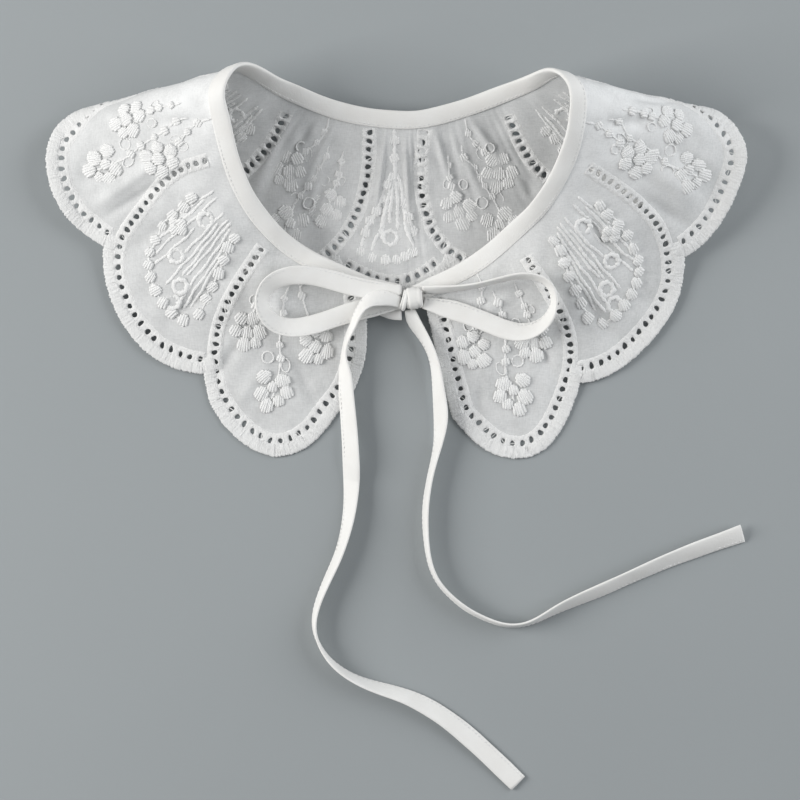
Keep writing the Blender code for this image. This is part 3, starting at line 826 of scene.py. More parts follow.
def voile_material():
    """Sheer cotton: fine crossed threads with slubs. What lies below shows through, less at the high folds,
    where painted light whitens the raised shoulders.
    """
    material, tree, shader = new_material("voile", (0.8, 0.8, 0.8), 0.9, 0.1)
    warp = noise(tree, 1900.0, 3.0, (1.0, 0.2, 1.0))
    weft = noise(tree, 1900.0, 3.0, (0.2, 1.0, 1.0))
    threads = add_values(tree, warp, weft)
    cloud = noise(tree, 90.0, 3.0)
    blend_colours(tree, shader, cloud, (0.775, 0.78, 0.775), (0.815, 0.82, 0.815))
    weave = remap(tree, threads, VEIL_LEAST, VEIL_MOST, 0.7, 1.3)
    alpha = add_values(tree, weave, remap(tree, cloud, -VEIL_CLOUD, VEIL_CLOUD))
    seat = tree.nodes.new("ShaderNodeTexCoord")
    axes = tree.nodes.new("ShaderNodeSeparateXYZ")
    tree.links.new(seat.outputs["Object"], axes.inputs["Vector"])
    # Painted light: the voile covers more, and so looks whiter, the higher its folds stand, most at the
    # raised shoulders
    painted_light_at_folds = remap(tree, axes.outputs["Z"], 0.0, VEIL_PAINTED_LIGHT, PAINTED_LIGHT_FROM, PAINTED_LIGHT_TO)
    tree.links.new(add_values(tree, alpha, painted_light_at_folds), shader.inputs["Alpha"])
    bump(tree, shader, threads, 0.00012, 0.2)
    return material


def thread_material(name, dark, light):
    """White embroidery cotton, matt and fuzzy."""
    material, tree, shader = new_material(name, light, 0.85, 0.2)
    fuzz = noise(tree, 2600.0, 3.0)
    tufts = noise(tree, 1700.0, 2.0, (1.0, 0.35, 1.0))
    blend_colours(tree, shader, remap(tree, tufts, 0.0, 1.0), dark, light)
    bump(tree, shader, add_values(tree, fuzz, tufts), 0.0004, 0.7)
    return material


def tape_material():
    """Plain cotton bias tape, slightly creamier than the voile."""
    material, tree, shader = new_material("tape", (0.80, 0.785, 0.76), 0.8, 0.15)
    warp = noise(tree, 2200.0, 2.0, (1.0, 0.15, 1.0))
    weft = noise(tree, 2200.0, 2.0, (0.15, 1.0, 1.0))
    threads = add_values(tree, warp, weft)
    cloud = noise(tree, 120.0, 2.0)
    blend_colours(tree, shader, remap(tree, cloud, 0.0, 1.0), (0.775, 0.765, 0.74), (0.805, 0.80, 0.78))
    bump(tree, shader, threads, 0.00012, 0.6)
    return material


def floor_material():
    """A pale grey table top with the faintest unevenness."""
    material, tree, shader = new_material("table_top", (0.30, 0.322, 0.328), 0.75)
    cloud = noise(tree, 9.0, 4.0)
    blend_colours(tree, shader, cloud, (0.3, 0.322, 0.33), (0.316, 0.338, 0.346))
    bump(tree, shader, noise(tree, 900.0, 3.0), 0.0002, 0.15)
    return material


# The camera


def add_camera():
    """The camera, straight above."""
    data = bpy.data.cameras.new("camera")
    data.sensor_width = CAMERA_SENSOR
    data.lens = CAMERA_SENSOR * CAMERA_PLACE[2] / VIEW_WIDTH
    camera = bpy.data.objects.new("camera", data)
    camera.location = CAMERA_PLACE
    bpy.context.scene.collection.objects.link(camera)
    bpy.context.scene.camera = camera


add_camera()


# The tapes: ties, bow loops and tuck


def leaning_path(table):
    """A ribbon's middle line, its two cross directions and its width, as the solids have them."""
    rows = plan_origin(table)
    chord = walked(rows[:, :3])
    fine = smooth_curve(chord, rows)(np.linspace(0.0, chord[-1], 1200))
    middle, carried = even_steps(fine[:, :3], RIBBON_STEP, fine[:, 3:])
    tilt = np.radians(carried[:, 0])
    width = np.minimum(carried[:, 1], RIBBON_WIDTH)
    rest = np.abs(np.sin(tilt)) * width / 2.0 + np.abs(np.cos(tilt)) * RIBBON_CAD_THICK / 2.0
    middle[:, 2] = np.maximum(middle[:, 2], rest)
    way = path_way(middle)
    level = unit(np.cross(way, (0.0, 0.0, 1.0)))
    upward = np.cross(level, way)
    across = unit(level * np.cos(tilt)[:, None] + upward * np.sin(tilt)[:, None])
    upright = unit(np.cross(across, way))
    return middle, across, upright, width


def tape_rings(middle, across, upright, width, thick, wave):
    """Rings of a folded tape: a rounded fold, a pressed edge with a sewn groove, and soft waves."""
    share, up = round_profile(18, 0.42, 0.7)
    reach = walked(middle)
    groove = 1.0 - 0.26 * np.exp(-(((share - STITCH_LINE) / 0.09) ** 2))
    edge = 1.0 - 0.18 * (share > 0.5)
    by_seam = np.exp(-(((share - 0.8) / 0.25) ** 2))
    pucker = 0.11 * np.sin(2.0 * np.pi * reach / STITCH_PITCH)[:, None] * by_seam
    bow = wave * np.sin(reach / 4.7 + 1.7 * np.sin(reach / 11.0))[:, None] * (1.0 - share * share)[None, :]
    bow += wave * 0.7 * np.sin(reach / 7.3 + 2.0)[:, None] * share[None, :]
    high = up * groove * edge * thick / 2.0 + pucker + bow
    wide = share[None, :] * width[:, None] / 2.0 * (1.0 + 0.012 * np.sin(reach / 3.3))[:, None]
    return middle[:, None, :] + across[:, None, :] * wide[:, :, None] + upright[:, None, :] * high[:, :, None]


def sew(heap, middle, across, upright, width, thick):
    """A running stitch along both faces of a tape, near its pressed edge."""
    reach = walked(middle)
    way = path_way(middle)
    for at in np.arange(1.5, reach[-1] - 1.0, STITCH_PITCH):
        centre = np.array([np.interp(at, reach, middle[:, i]) for i in range(3)])
        i = min(np.searchsorted(reach, at), len(middle) - 1)
        centre = centre + across[i] * STITCH_LINE * width[i] / 2.0
        for face in (1.0, -1.0):
            top = centre + upright[i] * face * thick * 0.29
            stitch(heap, top, way[i], across[i], upright[i] * face)


def ribbon(name, table, stitches):
    """One stretch of tape as a piece, with its own stitches added to the heap of stitches."""
    middle, across, upright, width = leaning_path(table)
    rings = tape_rings(middle, across, upright, width, RIBBON_THICK, RIBBON_WAVE)
    heap = Heap()
    heap.add(rings, tube_faces(len(middle), rings.shape[1]))
    made = heap.piece(name, tape_look)
    sew(stitches, middle, across, upright, width, RIBBON_THICK)
    return made, rings.mean(axis=1)


tape_look = tape_material()
# The hem thread is the same white cotton as the satin thread, painted darker: painted shade of the fuzzy
# border and its bands
shaded_thread_look = thread_material("hem_thread_painted_shade", (0.735, 0.735, 0.725), (0.785, 0.785, 0.775))
satin_look = thread_material("satin_thread", (0.79, 0.79, 0.78), (0.84, 0.84, 0.83))
for side, table in (("left", TAIL_LEFT), ("right", TAIL_RIGHT)):
    heap = Heap()
    tie, ring_middles = ribbon("tie_cloth_" + side, table, heap)
    sewn = heap.piece("tie_stitches_" + side, shaded_thread_look)
    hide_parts("tie_" + side)

bow_stitches = Heap()
for name, table in (("bow_loop_left", LOOP_LEFT), ("bow_loop_right", LOOP_RIGHT), ("bow_tuck", TUCK)):
    loop, _ = ribbon(name + "_cloth", table, bow_stitches)
    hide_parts(name)


def build_knot():
    """The turns of tape round the middle of the bow, pleated along their way."""
    heap = Heap()
    share, up = round_profile(KNOT_AROUND, 0.6, 0.4)
    upward = np.array((0.0, 0.0, 1.0))
    turn = around_circle(KNOT_STEPS)
    cos = boxy(np.cos(turn), 0.85)
    sin = boxy(np.sin(turn), 0.85)
    for x, y, z, deep, high, width, tilt in KNOT_TURNS:
        centre = np.array((x - CENTRE_X, y - CENTRE_Y, z))
        first, second = turned(np.array((1.0, 0.0, 0.0)), np.array((0.0, 1.0, 0.0)), tilt)
        ring = centre + cos[:, None] * deep * second + sin[:, None] * high * upward
        outward = unit(cos[:, None] / deep * second + sin[:, None] / high * upward)
        pinch = 1.0 + 0.10 * np.cos(turn) + 0.05 * np.cos(2.0 * turn + 0.6)
        wide = share[None, :] * width / 2.0 * pinch[:, None]
        bend = 0.5 * np.sin(turn + 0.7)[:, None]
        depth = (0.6 + 0.4 * np.cos(share * 2.4))[None, :]
        fold = KNOT_PLEATS * np.sin(share[None, :] * width * 1.45 + bend) * depth
        fold += 0.12 * np.sin(share[None, :] * width * 3.1 + 2.0 * bend + 1.0)
        thick = up[None, :] * KNOT_TAPE / 2.0 + fold - 0.7 * (share**4)[None, :]
        rings = ring[:, None, :] + first * wide[:, :, None] + outward[:, None, :] * thick[:, :, None]
        heap.add(rings, tube_faces(KNOT_STEPS, KNOT_AROUND, closed=True))
    made = heap.piece("bow_knot_cloth", tape_look)
    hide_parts("bow_knot")


build_knot()


# The neck binding


def build_binding():
    """The bias tape folded over the neck edge and sewn down along its lower edge."""
    fine = np.linspace(0.0, BINDING_LAST, 1800)
    fall = unit(cusp_curve(fine) - neck_curve(fine))
    start = plan_origin(BINDING_START)
    end = plan_origin(BINDING_END)
    middle = np.concatenate([start, neck_curve(fine), end])
    side = np.concatenate([fall[:1].repeat(len(start), axis=0), fall, fall[-1:].repeat(len(end), axis=0)])
    middle, side = even_steps(middle, BINDING_STEP, side)
    way = path_way(middle)
    side = unit(side - way * np.sum(side * way, axis=1, keepdims=True))
    upright = unit(np.cross(side, way))
    width = np.full(len(middle), BINDING_WIDTH)
    rings = tape_rings(middle, side, upright, width, BINDING_THICK, BINDING_WAVE)
    heap = Heap()
    heap.add(rings, tube_faces(len(middle), rings.shape[1]))
    made = heap.piece("neck_binding_cloth", tape_look)
    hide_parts("neck_binding")
    sew(bow_stitches, middle, side, upright, width, BINDING_THICK)


build_binding()
bow_stitches.piece("tape_stitches", shaded_thread_look)


# The embroidered cloth: where its outer edge and its rows of eyelets run


def edge_run(first, last):
    """Petal and drop along the hem between two petal positions."""
    count = max(2, int(round(abs(last - first) / HEM_STEP)) + 1)
    petal = np.linspace(first, last, count)
    return petal + front_edge_shift(petal, np.ones_like(petal)), hem_drop(petal)


def front_edge(left):
    """Petal and drop down a front edge, from the binding to the hem."""
    down = np.linspace(0.06, 1.0, 60)[:-1]
    petal = np.full_like(down, 0.0 if left else LAST_PETAL)
    return petal + front_edge_shift(petal, down), down * hem_drop(petal)


def join(*lines):
    """Lines over the cloth, each a list of petals and one of drops, as one."""
    return np.concatenate([line[0] for line in lines]), np.concatenate([line[1] for line in lines])


def backwards(line):
    """A line walked the other way."""
    return line[0][::-1], line[1][::-1]


def smooth_line(petal, drop, count=400):
    """A smooth line through points of petal and drop."""
    points = np.stack([petal, drop], axis=1)
    steps = np.hypot(np.diff(petal) * DOMAIN_WIDE, np.diff(drop) * DOMAIN_DEEP)
    chord = np.concatenate([[0.0], np.cumsum(steps)])
    curve = smooth_curve(chord, points)(np.linspace(0.0, chord[-1], count))
    return curve[:, 0], curve[:, 1]


def thin_out(line, step):
    """A line with a point at each step."""
    petal, drop, _ = even_line(line[0], line[1], step)
    return petal, drop


def eyelet_line(index):
    """The middle line of one petal's row of eyelets, from the neck down its side and along its hem."""
    down, (first, last), end = EYELET_ROWS[index]
    ahead = first < last
    hem = edge_run(min(first, last), max(first, last))
    if index == 0:
        hem = join(front_edge(True), hem)
    if index == len(EYELET_ROWS) - 1:
        hem = join(hem, backwards(front_edge(False)))
    run = inset(*thin_out(hem, 1.0), HOLE_FROM_EDGE)
    run = thin_out(run, 7.0)
    if not ahead:
        run = backwards(run)
    petal, drop = run
    if down:
        petal = np.concatenate([[p for p, d in down], petal])
        drop = np.concatenate([[d for p, d in down], drop])
    if end:
        petal = np.append(petal, end[0])
        drop = np.append(drop, end[1])
    return smooth_line(petal, drop)


eyelet_lines = [eyelet_line(index) for index in range(len(EYELET_ROWS))]


def side_length(number):
    """How far a row runs down the side of its petal before it turns along the hem."""
    down = EYELET_ROWS[number][0]
    if not down:
        return 0.0
    petal, drop = eyelet_lines[number]
    p, d, reach = even_line(petal, drop, 1.0)
    apart = np.hypot((p - down[-1][0]) * DOMAIN_WIDE, (d - down[-1][1]) * DOMAIN_DEEP)
    return reach[int(np.argmin(apart))]


def eyelet_cells():
    """Every eyelet of every row: its row, its place along it, its share of the row, and its own shape."""
    cells = []
    for number, (petal, drop) in enumerate(eyelet_lines):
        _, _, reach = even_line(petal, drop, 1.0)
        side = side_length(number)
        beside = int(round(side / HOLE_PITCH_SIDE))
        below = int(round((reach[-1] - side) / HOLE_PITCH_HEM))
        cuts = np.linspace(0.0, side, beside + 1)
        cuts = np.concatenate([cuts, np.linspace(cuts[-1], reach[-1], below + 1)[1:]])
        for i in range(len(cuts) - 1):
            cells.append({
                "row": number,
                "at": (cuts[i] + cuts[i + 1]) / 2.0,
                "half": (cuts[i + 1] - cuts[i]) / 2.0,
                "first": i == 0,
                "last": i == len(cuts) - 2,
                "along": HOLE_ALONG * chance.uniform(0.75, 1.15),
                "across": HOLE_ACROSS * chance.uniform(0.82, 1.15),
                "turn": chance.normal(0.0, 14.0),
                "shift": chance.normal(0.0, 0.13, 2),
                "lobes": chance.uniform(0.0, 6.28, 2),
            })
    return cells


def row_frames():
    """For each row of eyelets, its line and how petal and drop change for a millimetre across it."""
    frames = []
    for petal, drop in eyelet_lines:
        p, d, reach = even_line(petal, drop, 1.0)
        point = cloth_point(p, d)
        facing = slopes(p, d)[2]
        side = unit(np.cross(path_way(point), facing))
        moved = move_on(p, d, side)
        frames.append((reach, p, d, moved[0] - p, moved[1] - d))
    return frames


def on_row(frame_of_row, along, across):
    """Petal and drop of places given along and across a row."""
    reach, p, d, dp, dd = frame_of_row
    along = np.clip(along, 0.0, reach[-1])
    petal = np.interp(along, reach, p) + across * np.interp(along, reach, dp)
    return petal, np.interp(along, reach, d) + across * np.interp(along, reach, dd)


def hole_rim(cell, angle, wider=0.0):
    """The rim of an eyelet, a slightly uneven oval, along and across its row."""
    lobes = cell["lobes"]
    uneven = 1.0 + 0.09 * np.cos(2.0 * angle + lobes[0]) + 0.07 * np.cos(3.0 * angle + lobes[1])
    u = np.cos(angle) * (cell["along"] * uneven + wider)
    v = np.sin(angle) * (cell["across"] * uneven + wider)
    cos, sin = np.cos(np.radians(cell["turn"])), np.sin(np.radians(cell["turn"]))
    return u * cos - v * sin + cell["shift"][0], u * sin + v * cos + cell["shift"][1]


rows_of_eyelets = row_frames()
cells_of_eyelets = eyelet_cells()


def hole_loops():
    """The cut round each eyelet, a little wider than the stitches leave open, in petal and drop."""
    angle = around_circle(8) + np.pi / 8.0
    loops = []
    for cell in cells_of_eyelets:
        u, v = hole_rim(cell, angle, 0.35)
        loops.append(on_row(rows_of_eyelets[cell["row"]], cell["at"] + u, v))
    return loops


def inside(points, outline):
    """Which points lie inside a closed outline."""
    result = np.zeros(len(points), bool)
    start = outline
    end = np.roll(outline, -1, axis=0)
    for first in range(0, len(points), 3000):
        part = points[first : first + 3000]
        y = part[:, 1:2]
        crosses = (start[None, :, 1] > y) != (end[None, :, 1] > y)
        rise = end[:, 1] - start[:, 1]
        rise = np.where(np.abs(rise) < 1e-12, 1e-12, rise)
        at = start[None, :, 0] + (y - start[None, :, 1]) * ((end[:, 0] - start[:, 0]) / rise)[None, :]
        result[first : first + 3000] = (np.sum(crosses & (part[:, 0:1] < at), axis=1) % 2) == 1
    return result


def nearest(points, others):
    """Distance from each point to the nearest of the others."""
    result = np.empty(len(points))
    for first in range(0, len(points), 2000):
        part = points[first : first + 2000]
        apart = np.hypot(part[:, :1] - others[None, :, 0], part[:, 1:2] - others[None, :, 1])
        result[first : first + 2000] = apart.min(axis=1)
    return result


def outer_edge():
    """The whole outer edge of the cloth, from the left front round to the right front."""
    return join(front_edge(True), edge_run(0.0, LAST_PETAL), backwards(front_edge(False)))


def build_voile():
    """The cloth itself: a triangulated sheet with its eyelets cut through, given its real thickness."""
    petal, drop = inset(*thin_out(outer_edge(), 0.9), 1.6)
    neck_petal = np.linspace(petal[-1], petal[0], 330)[1:-1]
    neck_drop = np.full_like(neck_petal, 0.03)
    domain = np.array((DOMAIN_WIDE, DOMAIN_DEEP))
    petal, drop = join((petal, drop), (neck_petal, neck_drop))
    outline = np.stack([petal, drop], axis=1) * domain
    loops = [np.stack(loop, axis=1) * domain for loop in hole_loops()]
    columns = np.arange(-1.0, LAST_PETAL * DOMAIN_WIDE + 1.0, VOILE_STEP)
    rows = np.arange(0.0, DOMAIN_DEEP * 1.03, VOILE_STEP * 0.866)
    grid = np.array([(x + VOILE_STEP / 2.0 * (j % 2), y) for j, y in enumerate(rows) for x in columns])
    grid = grid[inside(grid, outline)]
    grid = grid[nearest(grid, outline) > VOILE_STEP * 0.55]
    rims = np.concatenate(loops)
    grid = grid[nearest(grid, rims) > VOILE_STEP * 0.5]
    centres = np.array([loop.mean(axis=0) for loop in loops])
    grid = grid[nearest(grid, centres) > 1.5]
    loops = [loop for loop in loops if inside(loop, outline).all()]
    points = [outline]
    edges = [(i, (i + 1) % len(outline)) for i in range(len(outline))]
    owner = [-1] * len(outline)
    base = len(outline)
    for number, loop in enumerate(loops):
        points.append(loop)
        edges += [(base + i, base + (i + 1) % len(loop)) for i in range(len(loop))]
        owner += [number] * len(loop)
        base += len(loop)
    points.append(grid)
    owner += [-1] * len(grid)
    found = delaunay_2d_cdt(np.concatenate(points).tolist(), edges, [], 1, 1e-4, True)
    flat, _, triangles, origins, _, _ = found
    flat = np.array([tuple(p) for p in flat])
    owners = [max([owner[i] for i in origin], default=-1) for origin in origins]
    triangles = np.array(triangles)
    middles = flat[triangles].mean(axis=1)
    triangles = triangles[inside(middles, outline)].tolist()
    kept = [t for t in triangles if not (owners[t[0]] >= 0 and owners[t[0]] == owners[t[1]] == owners[t[2]])]
    used = sorted({i for t in kept for i in t})
    renumber = {old: new for new, old in enumerate(used)}
    kept = [tuple(renumber[i] for i in t) for t in kept]
    flat = flat[used] / domain
    point, facing = lay(flat[:, 0], flat[:, 1])
    count = len(point)
    faces = list(kept) + [(a + count, c + count, b + count) for a, b, c in kept]
    once = {}
    for a, b, c in kept:
        for edge in ((a, b), (b, c), (c, a)):
            once[edge] = True
    for a, b in once:
        if (b, a) not in once:
            faces.append((b, a, a + count, b + count))
    heap = Heap()
    half = facing * VOILE_THICK / 2.0
    heap.add(np.concatenate([point + half, point - half]), faces)
    return heap.piece("collar_voile", voile_material())


def border_run(index):
    """The outer edge of one petal's border. It goes on past each cusp, under and over its neighbours."""
    petal, drop = edge_run(index, index + 1)
    left, right = index == 0, index == len(TIP_DROP) - 1
    if left:
        petal, drop = join(front_edge(True), (petal, drop))
    else:
        lead = np.linspace(-1.0, -0.1, 10) * BORDER_LEAD_AT_CUSP
        petal = np.concatenate([petal[0] + lead, petal])
        drop = np.concatenate([drop[0] + lead * 1.1, drop])
    if right:
        petal, drop = join((petal, drop), backwards(front_edge(False)))
    else:
        lead = np.linspace(0.1, 1.0, 10) * BORDER_LEAD_AT_CUSP
        petal = np.concatenate([petal, petal[-1] + lead])
        drop = np.concatenate([drop, drop[-1] - lead * 1.1])
    return petal, drop


def build_border():
    """The satin border of the hem, one run for each petal, with a rib for each few stitches."""
    heap = Heap()
    share, up = round_profile(BORDER_AROUND, 0.5, 0.5)
    for index in range(len(TIP_DROP)):
        petal, drop, reach = even_line(*border_run(index), BORDER_STEP)
        inner = inset(petal, drop, BORDER_WIDTH)
        number = len(petal)
        rib = 0.07 * np.sin(2.0 * np.pi * np.arange(number) / 3.0) + 0.15 * chance.uniform(-1, 1, number)
        ragged = 0.055 * chance.uniform(-1.0, 1.0, (number, 2))
        depth = (1.0 - share[None, :]) / 2.0
        inner_part = np.where(depth > 0.7, depth + ragged[:, 1:], depth)
        depth = np.where(depth < 0.3, depth + ragged[:, :1], inner_part)
        at_petal = petal[:, None] + (inner[0] - petal)[:, None] * depth
        at_drop = drop[:, None] + (inner[1] - drop)[:, None] * depth
        point, facing = lay(at_petal, at_drop)
        from_end = np.minimum(reach, reach[-1] - reach)
        fade = 0.25 + 0.75 * np.clip(from_end / 3.0, 0.0, 1.0) ** 0.5
        top_or_low = np.where(up > 0.0, BORDER_OVER, BORDER_UNDER)
        high = top_or_low[None, :] * up[None, :] * ((1.0 + rib) * fade)[:, None]
        grain = 1.0 + 0.2 * chance.uniform(-1.0, 1.0, high.shape)
        heap.add(point + facing * (high * grain).reshape(-1, 1), tube_faces(number, BORDER_AROUND))
    return heap.piece("hem_border", shaded_thread_look)


def cell_rim():
    """Points round a cell of the band, from minus one to one along and across, and the angle of each."""
    across = np.linspace(-1.0, 1.0, CELL_ACROSS + 1)
    along = np.linspace(1.0, -1.0, CELL_ALONG + 1)
    right = [(1.0, v) for v in across[:-1]]
    top = [(u, 1.0) for u in along[:-1]]
    left = [(-1.0, v) for v in across[::-1][:-1]]
    low = [(u, -1.0) for u in along[::-1][:-1]]
    rim = np.array(right + top + left + low)
    return rim, np.arctan2(rim[:, 1], rim[:, 0])


def build_bands():
    """The stitched bands that hold the eyelets: round each eyelet one ring of mesh, flat on the cloth."""
    rim, angle = cell_rim()
    count = len(rim)
    levels = len(CELL_SHARES)
    faces = []
    for i in range(levels - 1):
        for k in range(count):
            n = (k + 1) % count
            faces.append((i * count + k, (i + 1) * count + k, (i + 1) * count + n, i * count + n))
    low = levels * count
    for k in range(count):
        n = (k + 1) % count
        faces.append((k, n, low + n, low + k))
        faces.append((low + k, low + n, low + count + n, low + count + k))
    petals, drops, heights = [], [], []
    rings = [(share, True) for share in CELL_SHARES] + [(0.3, False), (1.0, False)]
    for cell in cells_of_eyelets:
        u0, v0 = hole_rim(cell, angle)
        ragged = np.where(np.abs(rim[:, 1]) > 0.99, chance.uniform(-0.16, 0.12, count), 0.0)
        ragged = np.where(np.abs(rim[:, 0]) > 0.99, 0.0, ragged)
        u1, v1 = rim[:, 0] * cell["half"], rim[:, 1] * (BAND_WIDTH / 2.0 + ragged)
        for share, top in rings:
            u = u0 + (u1 - u0) * share
            v = v0 + (v1 - v0) * share
            petal, drop = on_row(rows_of_eyelets[cell["row"]], cell["at"] + u, v)
            aside = np.abs(rim[:, 1] * share + v0 / (BAND_WIDTH / 2.0) * (1.0 - share))
            edge = np.clip(1.0 - aside**8, 0.0, 1.0) ** 0.5
            end = np.ones(count)
            if cell["first"]:
                end = np.clip(1.0 - np.clip(-u / cell["half"], 0.0, 1.0) ** 6, 0.0, 1.0)
            if cell["last"]:
                end = np.clip(1.0 - np.clip(u / cell["half"], 0.0, 1.0) ** 6, 0.0, 1.0)
            swell = 0.35 + 0.65 * min(1.0, share / 0.25) ** 0.5
            if 0.0 < share < 1.0:
                swell = swell * (1.0 + 0.26 * chance.uniform(-1.0, 1.0, count))
            high = (BAND_OVER if top else -BAND_UNDER) * edge * end * swell
            petals.append(petal)
            drops.append(drop)
            heights.append(np.where(share == 0.0, 0.35 * BAND_OVER, high))
    point, facing = lay(np.concatenate(petals), np.concatenate(drops))
    point = point + facing * np.concatenate(heights)[:, None]
    heap = Heap()
    each = (levels + 2) * count
    for i in range(len(cells_of_eyelets)):
        heap.add(point[i * each : (i + 1) * each], faces)
    return heap.piece("eyelet_bands", shaded_thread_look)


def build_strays():
    """Threads of the cut cloth that stray across some of the eyelets."""
    heap = Heap()
    for cell in cells_of_eyelets:
        if chance.uniform() < 1.0 - STRAY_SHARE:
            continue
        lean = np.radians(chance.uniform(0.0, 180.0))
        shift = chance.uniform(-0.35, 0.35)
        span = np.linspace(-1.7, 1.7, 6)
        u = span * np.cos(lean) - shift * np.sin(lean) + 0.12 * np.sin(span * 2.0)
        v = span * np.sin(lean) + shift * np.cos(lean)
        petal, drop = on_row(rows_of_eyelets[cell["row"]], cell["at"] + u, v)
        cord_on_cloth(heap, petal, drop, chance.uniform(0.22, 0.5), 0.14, 0.12, 0.2)
    return heap.piece("stray_threads", shaded_thread_look)


# The flowers, stems and rings


def satin(heap, spot, first, second, facing, length, width, over):
    """A satin-stitched pad: strokes of thread side by side along the first direction, with ragged ends."""
    count = max(3, int(round(width / STROKE_WIDE)))
    pitch = width / count
    for j in range(count):
        y = (j + 0.5) * pitch - width / 2.0
        reach = length / 2.0 * max(0.15, 1.0 - (2.0 * y / width) ** 2) ** 0.42 * chance.uniform(0.9, 1.06)
        x = STROKE_SHARES * reach + chance.uniform(-0.12, 0.12)
        dome = np.clip(1.0 - (x / (length * 0.56)) ** 2 - (y / (width * 0.58)) ** 2, 0.0, 1.0) ** 0.6
        high = over * (0.2 + 0.8 * dome) * chance.uniform(0.88, 1.08)
        fan = np.radians(chance.uniform(-4.0, 4.0) + 24.0 * y / width)
        side = (y + STROKE_SIDE[None, :] * pitch * STROKE_TAPER[:, None]) + (np.tan(fan) * x)[:, None] * 0.5
        above = high[:, None] * STROKE_HIGH[None, :]
        up = PAD_LIFT + np.where(STROKE_HIGH > 0.0, above, 0.8 * STROKE_HIGH[None, :])
        rings = spot + first * x[:, None, None] + second * side[:, :, None] + facing * up[:, :, None]
        heap.add(rings, tube_faces(len(x), len(STROKE_SIDE)))


def share_to_petal(index, mirrored, share):
    """A share of a petal's width as a petal position, counted from the other side where it is mirrored."""
    return index + 1.0 - share if mirrored else index + share


def stem(heap, index, mirrored, rows, width, wave):
    """A thin stitched line through points of share and drop."""
    petal = np.array([share_to_petal(index, mirrored, share) for share, drop in rows])
    drop = np.array([drop for share, drop in rows])
    if len(rows) > 2:
        line = smooth_line(petal, drop, 120)
    else:
        line = np.linspace(petal[0], petal[1], 60), np.linspace(drop[0], drop[1], 60)
    at_petal, at_drop, reach = even_line(*line, STEM_STEP)
    sway = wave * np.sin(reach / 1.9 + chance.uniform(0.0, 6.0))
    sway = sway + wave * np.sin(reach / 4.3 + chance.uniform(0.0, 6.0))
    sway += 0.10 * chance.uniform(-1.0, 1.0, len(reach))
    at_petal = at_petal + sway / DOMAIN_WIDE
    cord_on_cloth(heap, at_petal, at_drop, width, 0.44, 0.3, 0.32, 0.35)


def dot(heap, index, mirrored, share, drop, length, width, turn, over):
    """One satin pad at a share and drop, its strokes running down the cloth."""
    point, along, down, facing = place(share_to_petal(index, mirrored, share), drop)
    first, second = turned(down, -along, turn)
    satin(heap, point, first, second, facing, length, width, over)


def hoop(heap, index, mirrored, share, drop, length, width, turn, thread, lobed=0.0):
    """An open ring of stitches."""
    point, along, down, facing = place(share_to_petal(index, mirrored, share), drop)
    first, second = turned(along, down, turn)
    count = 32
    angle = around_circle(count)
    reach = 1.0 + lobed * np.cos(8.0 * angle) + 0.05 * chance.uniform(-1.0, 1.0, count)
    x = (np.cos(angle) * reach * length / 2.0)[:, None]
    y = (np.sin(angle) * reach * width / 2.0)[:, None]
    ring = point + first * x + second * y
    outward = unit(ring - point)
    across, up = round_profile(6, 0.8, 0.8)
    swell = 1.0 + 0.25 * chance.uniform(-1.0, 1.0, count)
    wide = across[None, :] * thread / 2.0 * swell[:, None]
    high = np.where(up > 0.0, 0.5, 0.35)[None, :] * up[None, :] * swell[:, None]
    rings = ring[:, None, :] + outward[:, None, :] * wide[:, :, None] + facing * high[:, :, None]
    heap.add(rings, tube_faces(count, 6, closed=True))


def flower(heap, index, mirrored, share, drop, rows, spin, scale):
    """A cluster of pads whose strokes fan out from the stem's end above them."""
    petal = share_to_petal(index, mirrored, share)
    point, along, down, facing = place(petal, drop)
    if mirrored:
        along = -along
    along, down = turned(along, down, spin)
    for x, y, length, width in rows:
        offset = (along * x + down * y) * scale
        at = move_on(np.array([petal]), np.array([drop]), offset[None, :])
        spot, _, _, normal = place(at[0][0], at[1][0])
        first = unit(along * x * 0.8 + down * (y + FLOWER_FAN_FROM))
        first = unit(first - normal * np.dot(first, normal))
        second = np.cross(normal, first)
        grow = scale * chance.uniform(1.0, 1.12)
        satin(heap, spot, first, second, normal, width * grow * 1.08, length * grow * 1.04, FLOWER_OVER)


def chain(pads, lines, index, mirrored, rows):
    """A stem with small pads along it."""
    stem(lines, index, mirrored, rows, 0.95, 0.15)
    for share, drop in rows[1:-1]:
        size = BEAD_SIZE * chance.uniform(0.85, 1.15)
        dot(pads, index, mirrored, share, drop, size * 1.2, size, chance.uniform(-30.0, 30.0), 0.65)


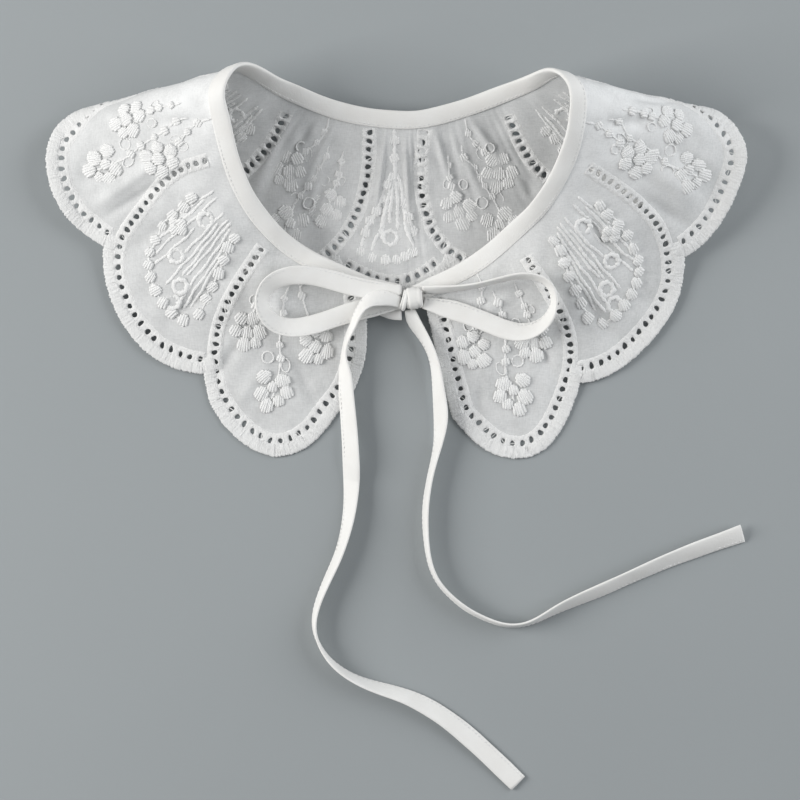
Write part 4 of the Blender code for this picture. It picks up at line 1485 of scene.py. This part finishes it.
def flowered_petal(heap, lines, row):
    """A spray: three flowers on chains of small pads, with open rings beside them."""
    index, mirrored, low_share, low_drop, near_share, near_drop, far_share, far_drop = row
    flower(heap, index, mirrored, low_share, low_drop, FLOWER, 0.0, 0.92)
    flower(heap, index, mirrored, near_share, near_drop, SIDE_FLOWER, -25.0, 0.95)
    flower(heap, index, mirrored, far_share, far_drop, SIDE_FLOWER, 15.0, 0.95)
    middle = (near_share + far_share) / 2.0
    chain(heap, lines, index, mirrored, (
        (middle - 0.08, 0.045), (middle - 0.06, 0.125), (middle - 0.09, 0.185),
        (near_share + 0.06, near_drop - 0.11), (near_share, near_drop - 0.03)))
    chain(heap, lines, index, mirrored, (
        (middle + 0.03, 0.17), (middle + 0.05, 0.235), (low_share + 0.05, 0.30), (low_share + 0.04, 0.36),
        (low_share + 0.02, low_drop - 0.20), (low_share - 0.005, low_drop - 0.14),
        (low_share, low_drop + 0.07)))
    chain(heap, lines, index, mirrored, (
        (far_share - 0.01, far_drop - 0.29), (far_share, far_drop - 0.235),
        (far_share + 0.01, far_drop - 0.17), (far_share + 0.01, far_drop - 0.125), (far_share, far_drop)))
    places = ((low_share, low_drop), (near_share, near_drop), (far_share, far_drop))
    for which, aside, above, length, width, turn, thread in FLOWER_RINGS:
        share, drop = places[which]
        hoop(lines, index, mirrored, share + aside, drop - above, length, width, turn, thread)


def lined_petal(heap, lines, index, mirrored):
    """Wavy lines between two arcs of pads, with four ringed eyes and a small flower."""
    for share, drop in LINED_PADS:
        length = 4.9 * chance.uniform(0.85, 1.12)
        width = 3.9 * chance.uniform(0.85, 1.15)
        dot(heap, index, mirrored, share, drop, length, width, chance.uniform(-25.0, 25.0), 0.85)
    for first, last in LINED_ARCS:
        stem(lines, index, mirrored, LINED_PADS[first:last], 1.0, 0.5)
    for share, drop in LINED_RINGS:
        hoop(lines, index, mirrored, share, drop, 5.6, 5.8, 0.0, 2.1, 0.07)
    flower(heap, index, mirrored, *LINED_FLOWER, LINED_FLOWER_PADS, 0.0, 1.0)
    for top_share, top_drop, foot_share, foot_drop in LINED_LINES:
        stem(lines, index, mirrored, ((top_share, top_drop), (foot_share, foot_drop)), 1.35, 0.24)


def fan_petal(heap, lines):
    """The middle petal of the back."""
    for share, drop in FAN_PADS:
        length = 4.4 * chance.uniform(0.9, 1.15)
        width = 3.8 * chance.uniform(0.9, 1.1)
        dot(heap, FAN_PETAL, False, share, drop, length, width, chance.uniform(-25.0, 25.0), 1.0)
    hoop(lines, FAN_PETAL, False, *FAN_RING, 5.6, 5.6, 0.0, 2.0, 0.08)
    for rows in FAN_LINES:
        stem(lines, FAN_PETAL, False, rows, 1.9, 0.3)


def build_motifs():
    """The embroidery of every petal, as one piece of pads and one of lines."""
    pads = Heap()
    lines = Heap()
    for row in FLOWERED:
        flowered_petal(pads, lines, row)
    for index, mirrored in LINED:
        lined_petal(pads, lines, index, mirrored)
    fan_petal(pads, lines)
    sewn_pads = pads.piece("satin_pads", satin_look)
    sewn_lines = lines.piece("stem_lines", satin_look)
    return sewn_pads, sewn_lines


voile = build_voile()
sewn_on = [build_border(), build_bands(), build_strays(), *build_motifs()]
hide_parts("collar_cloth")


# The table top and the lights


def build_floor():
    """The table top, a plain square."""
    mesh = bpy.data.meshes.new("table_top")
    corners = [(x * FLOOR_REACH, y * FLOOR_REACH, 0.0) for x, y in ((-1, -1), (1, -1), (1, 1), (-1, 1))]
    mesh.from_pydata(corners, [], [(0, 1, 2, 3)])
    mesh.materials.append(floor_material())
    made = bpy.data.objects.new("table_top", mesh)
    bpy.context.scene.collection.objects.link(made)


def area_light(name, place_at, aim, size, power, colour):
    """A square light turned towards a place."""
    data = bpy.data.lights.new(name, "AREA")
    data.size = size
    data.energy = power
    data.color = colour
    lamp = bpy.data.objects.new(name, data)
    lamp.location = place_at
    lamp.rotation_euler = (Vector(aim) - Vector(place_at)).to_track_quat("-Z", "Y").to_euler()
    bpy.context.scene.collection.objects.link(lamp)


def light_scene():
    """The sky's even light, the lights and the plain view of the colours."""
    world = bpy.data.worlds.new("studio")
    world.use_nodes = True
    sky = world.node_tree.nodes["Background"]
    sky.inputs["Color"].default_value = SKY_COLOUR
    sky.inputs["Strength"].default_value = SKY_STRENGTH
    bpy.context.scene.world = world
    for row in LIGHTS:
        area_light(*row)
    bpy.context.scene.view_settings.view_transform = "Standard"


build_floor()
light_scene()
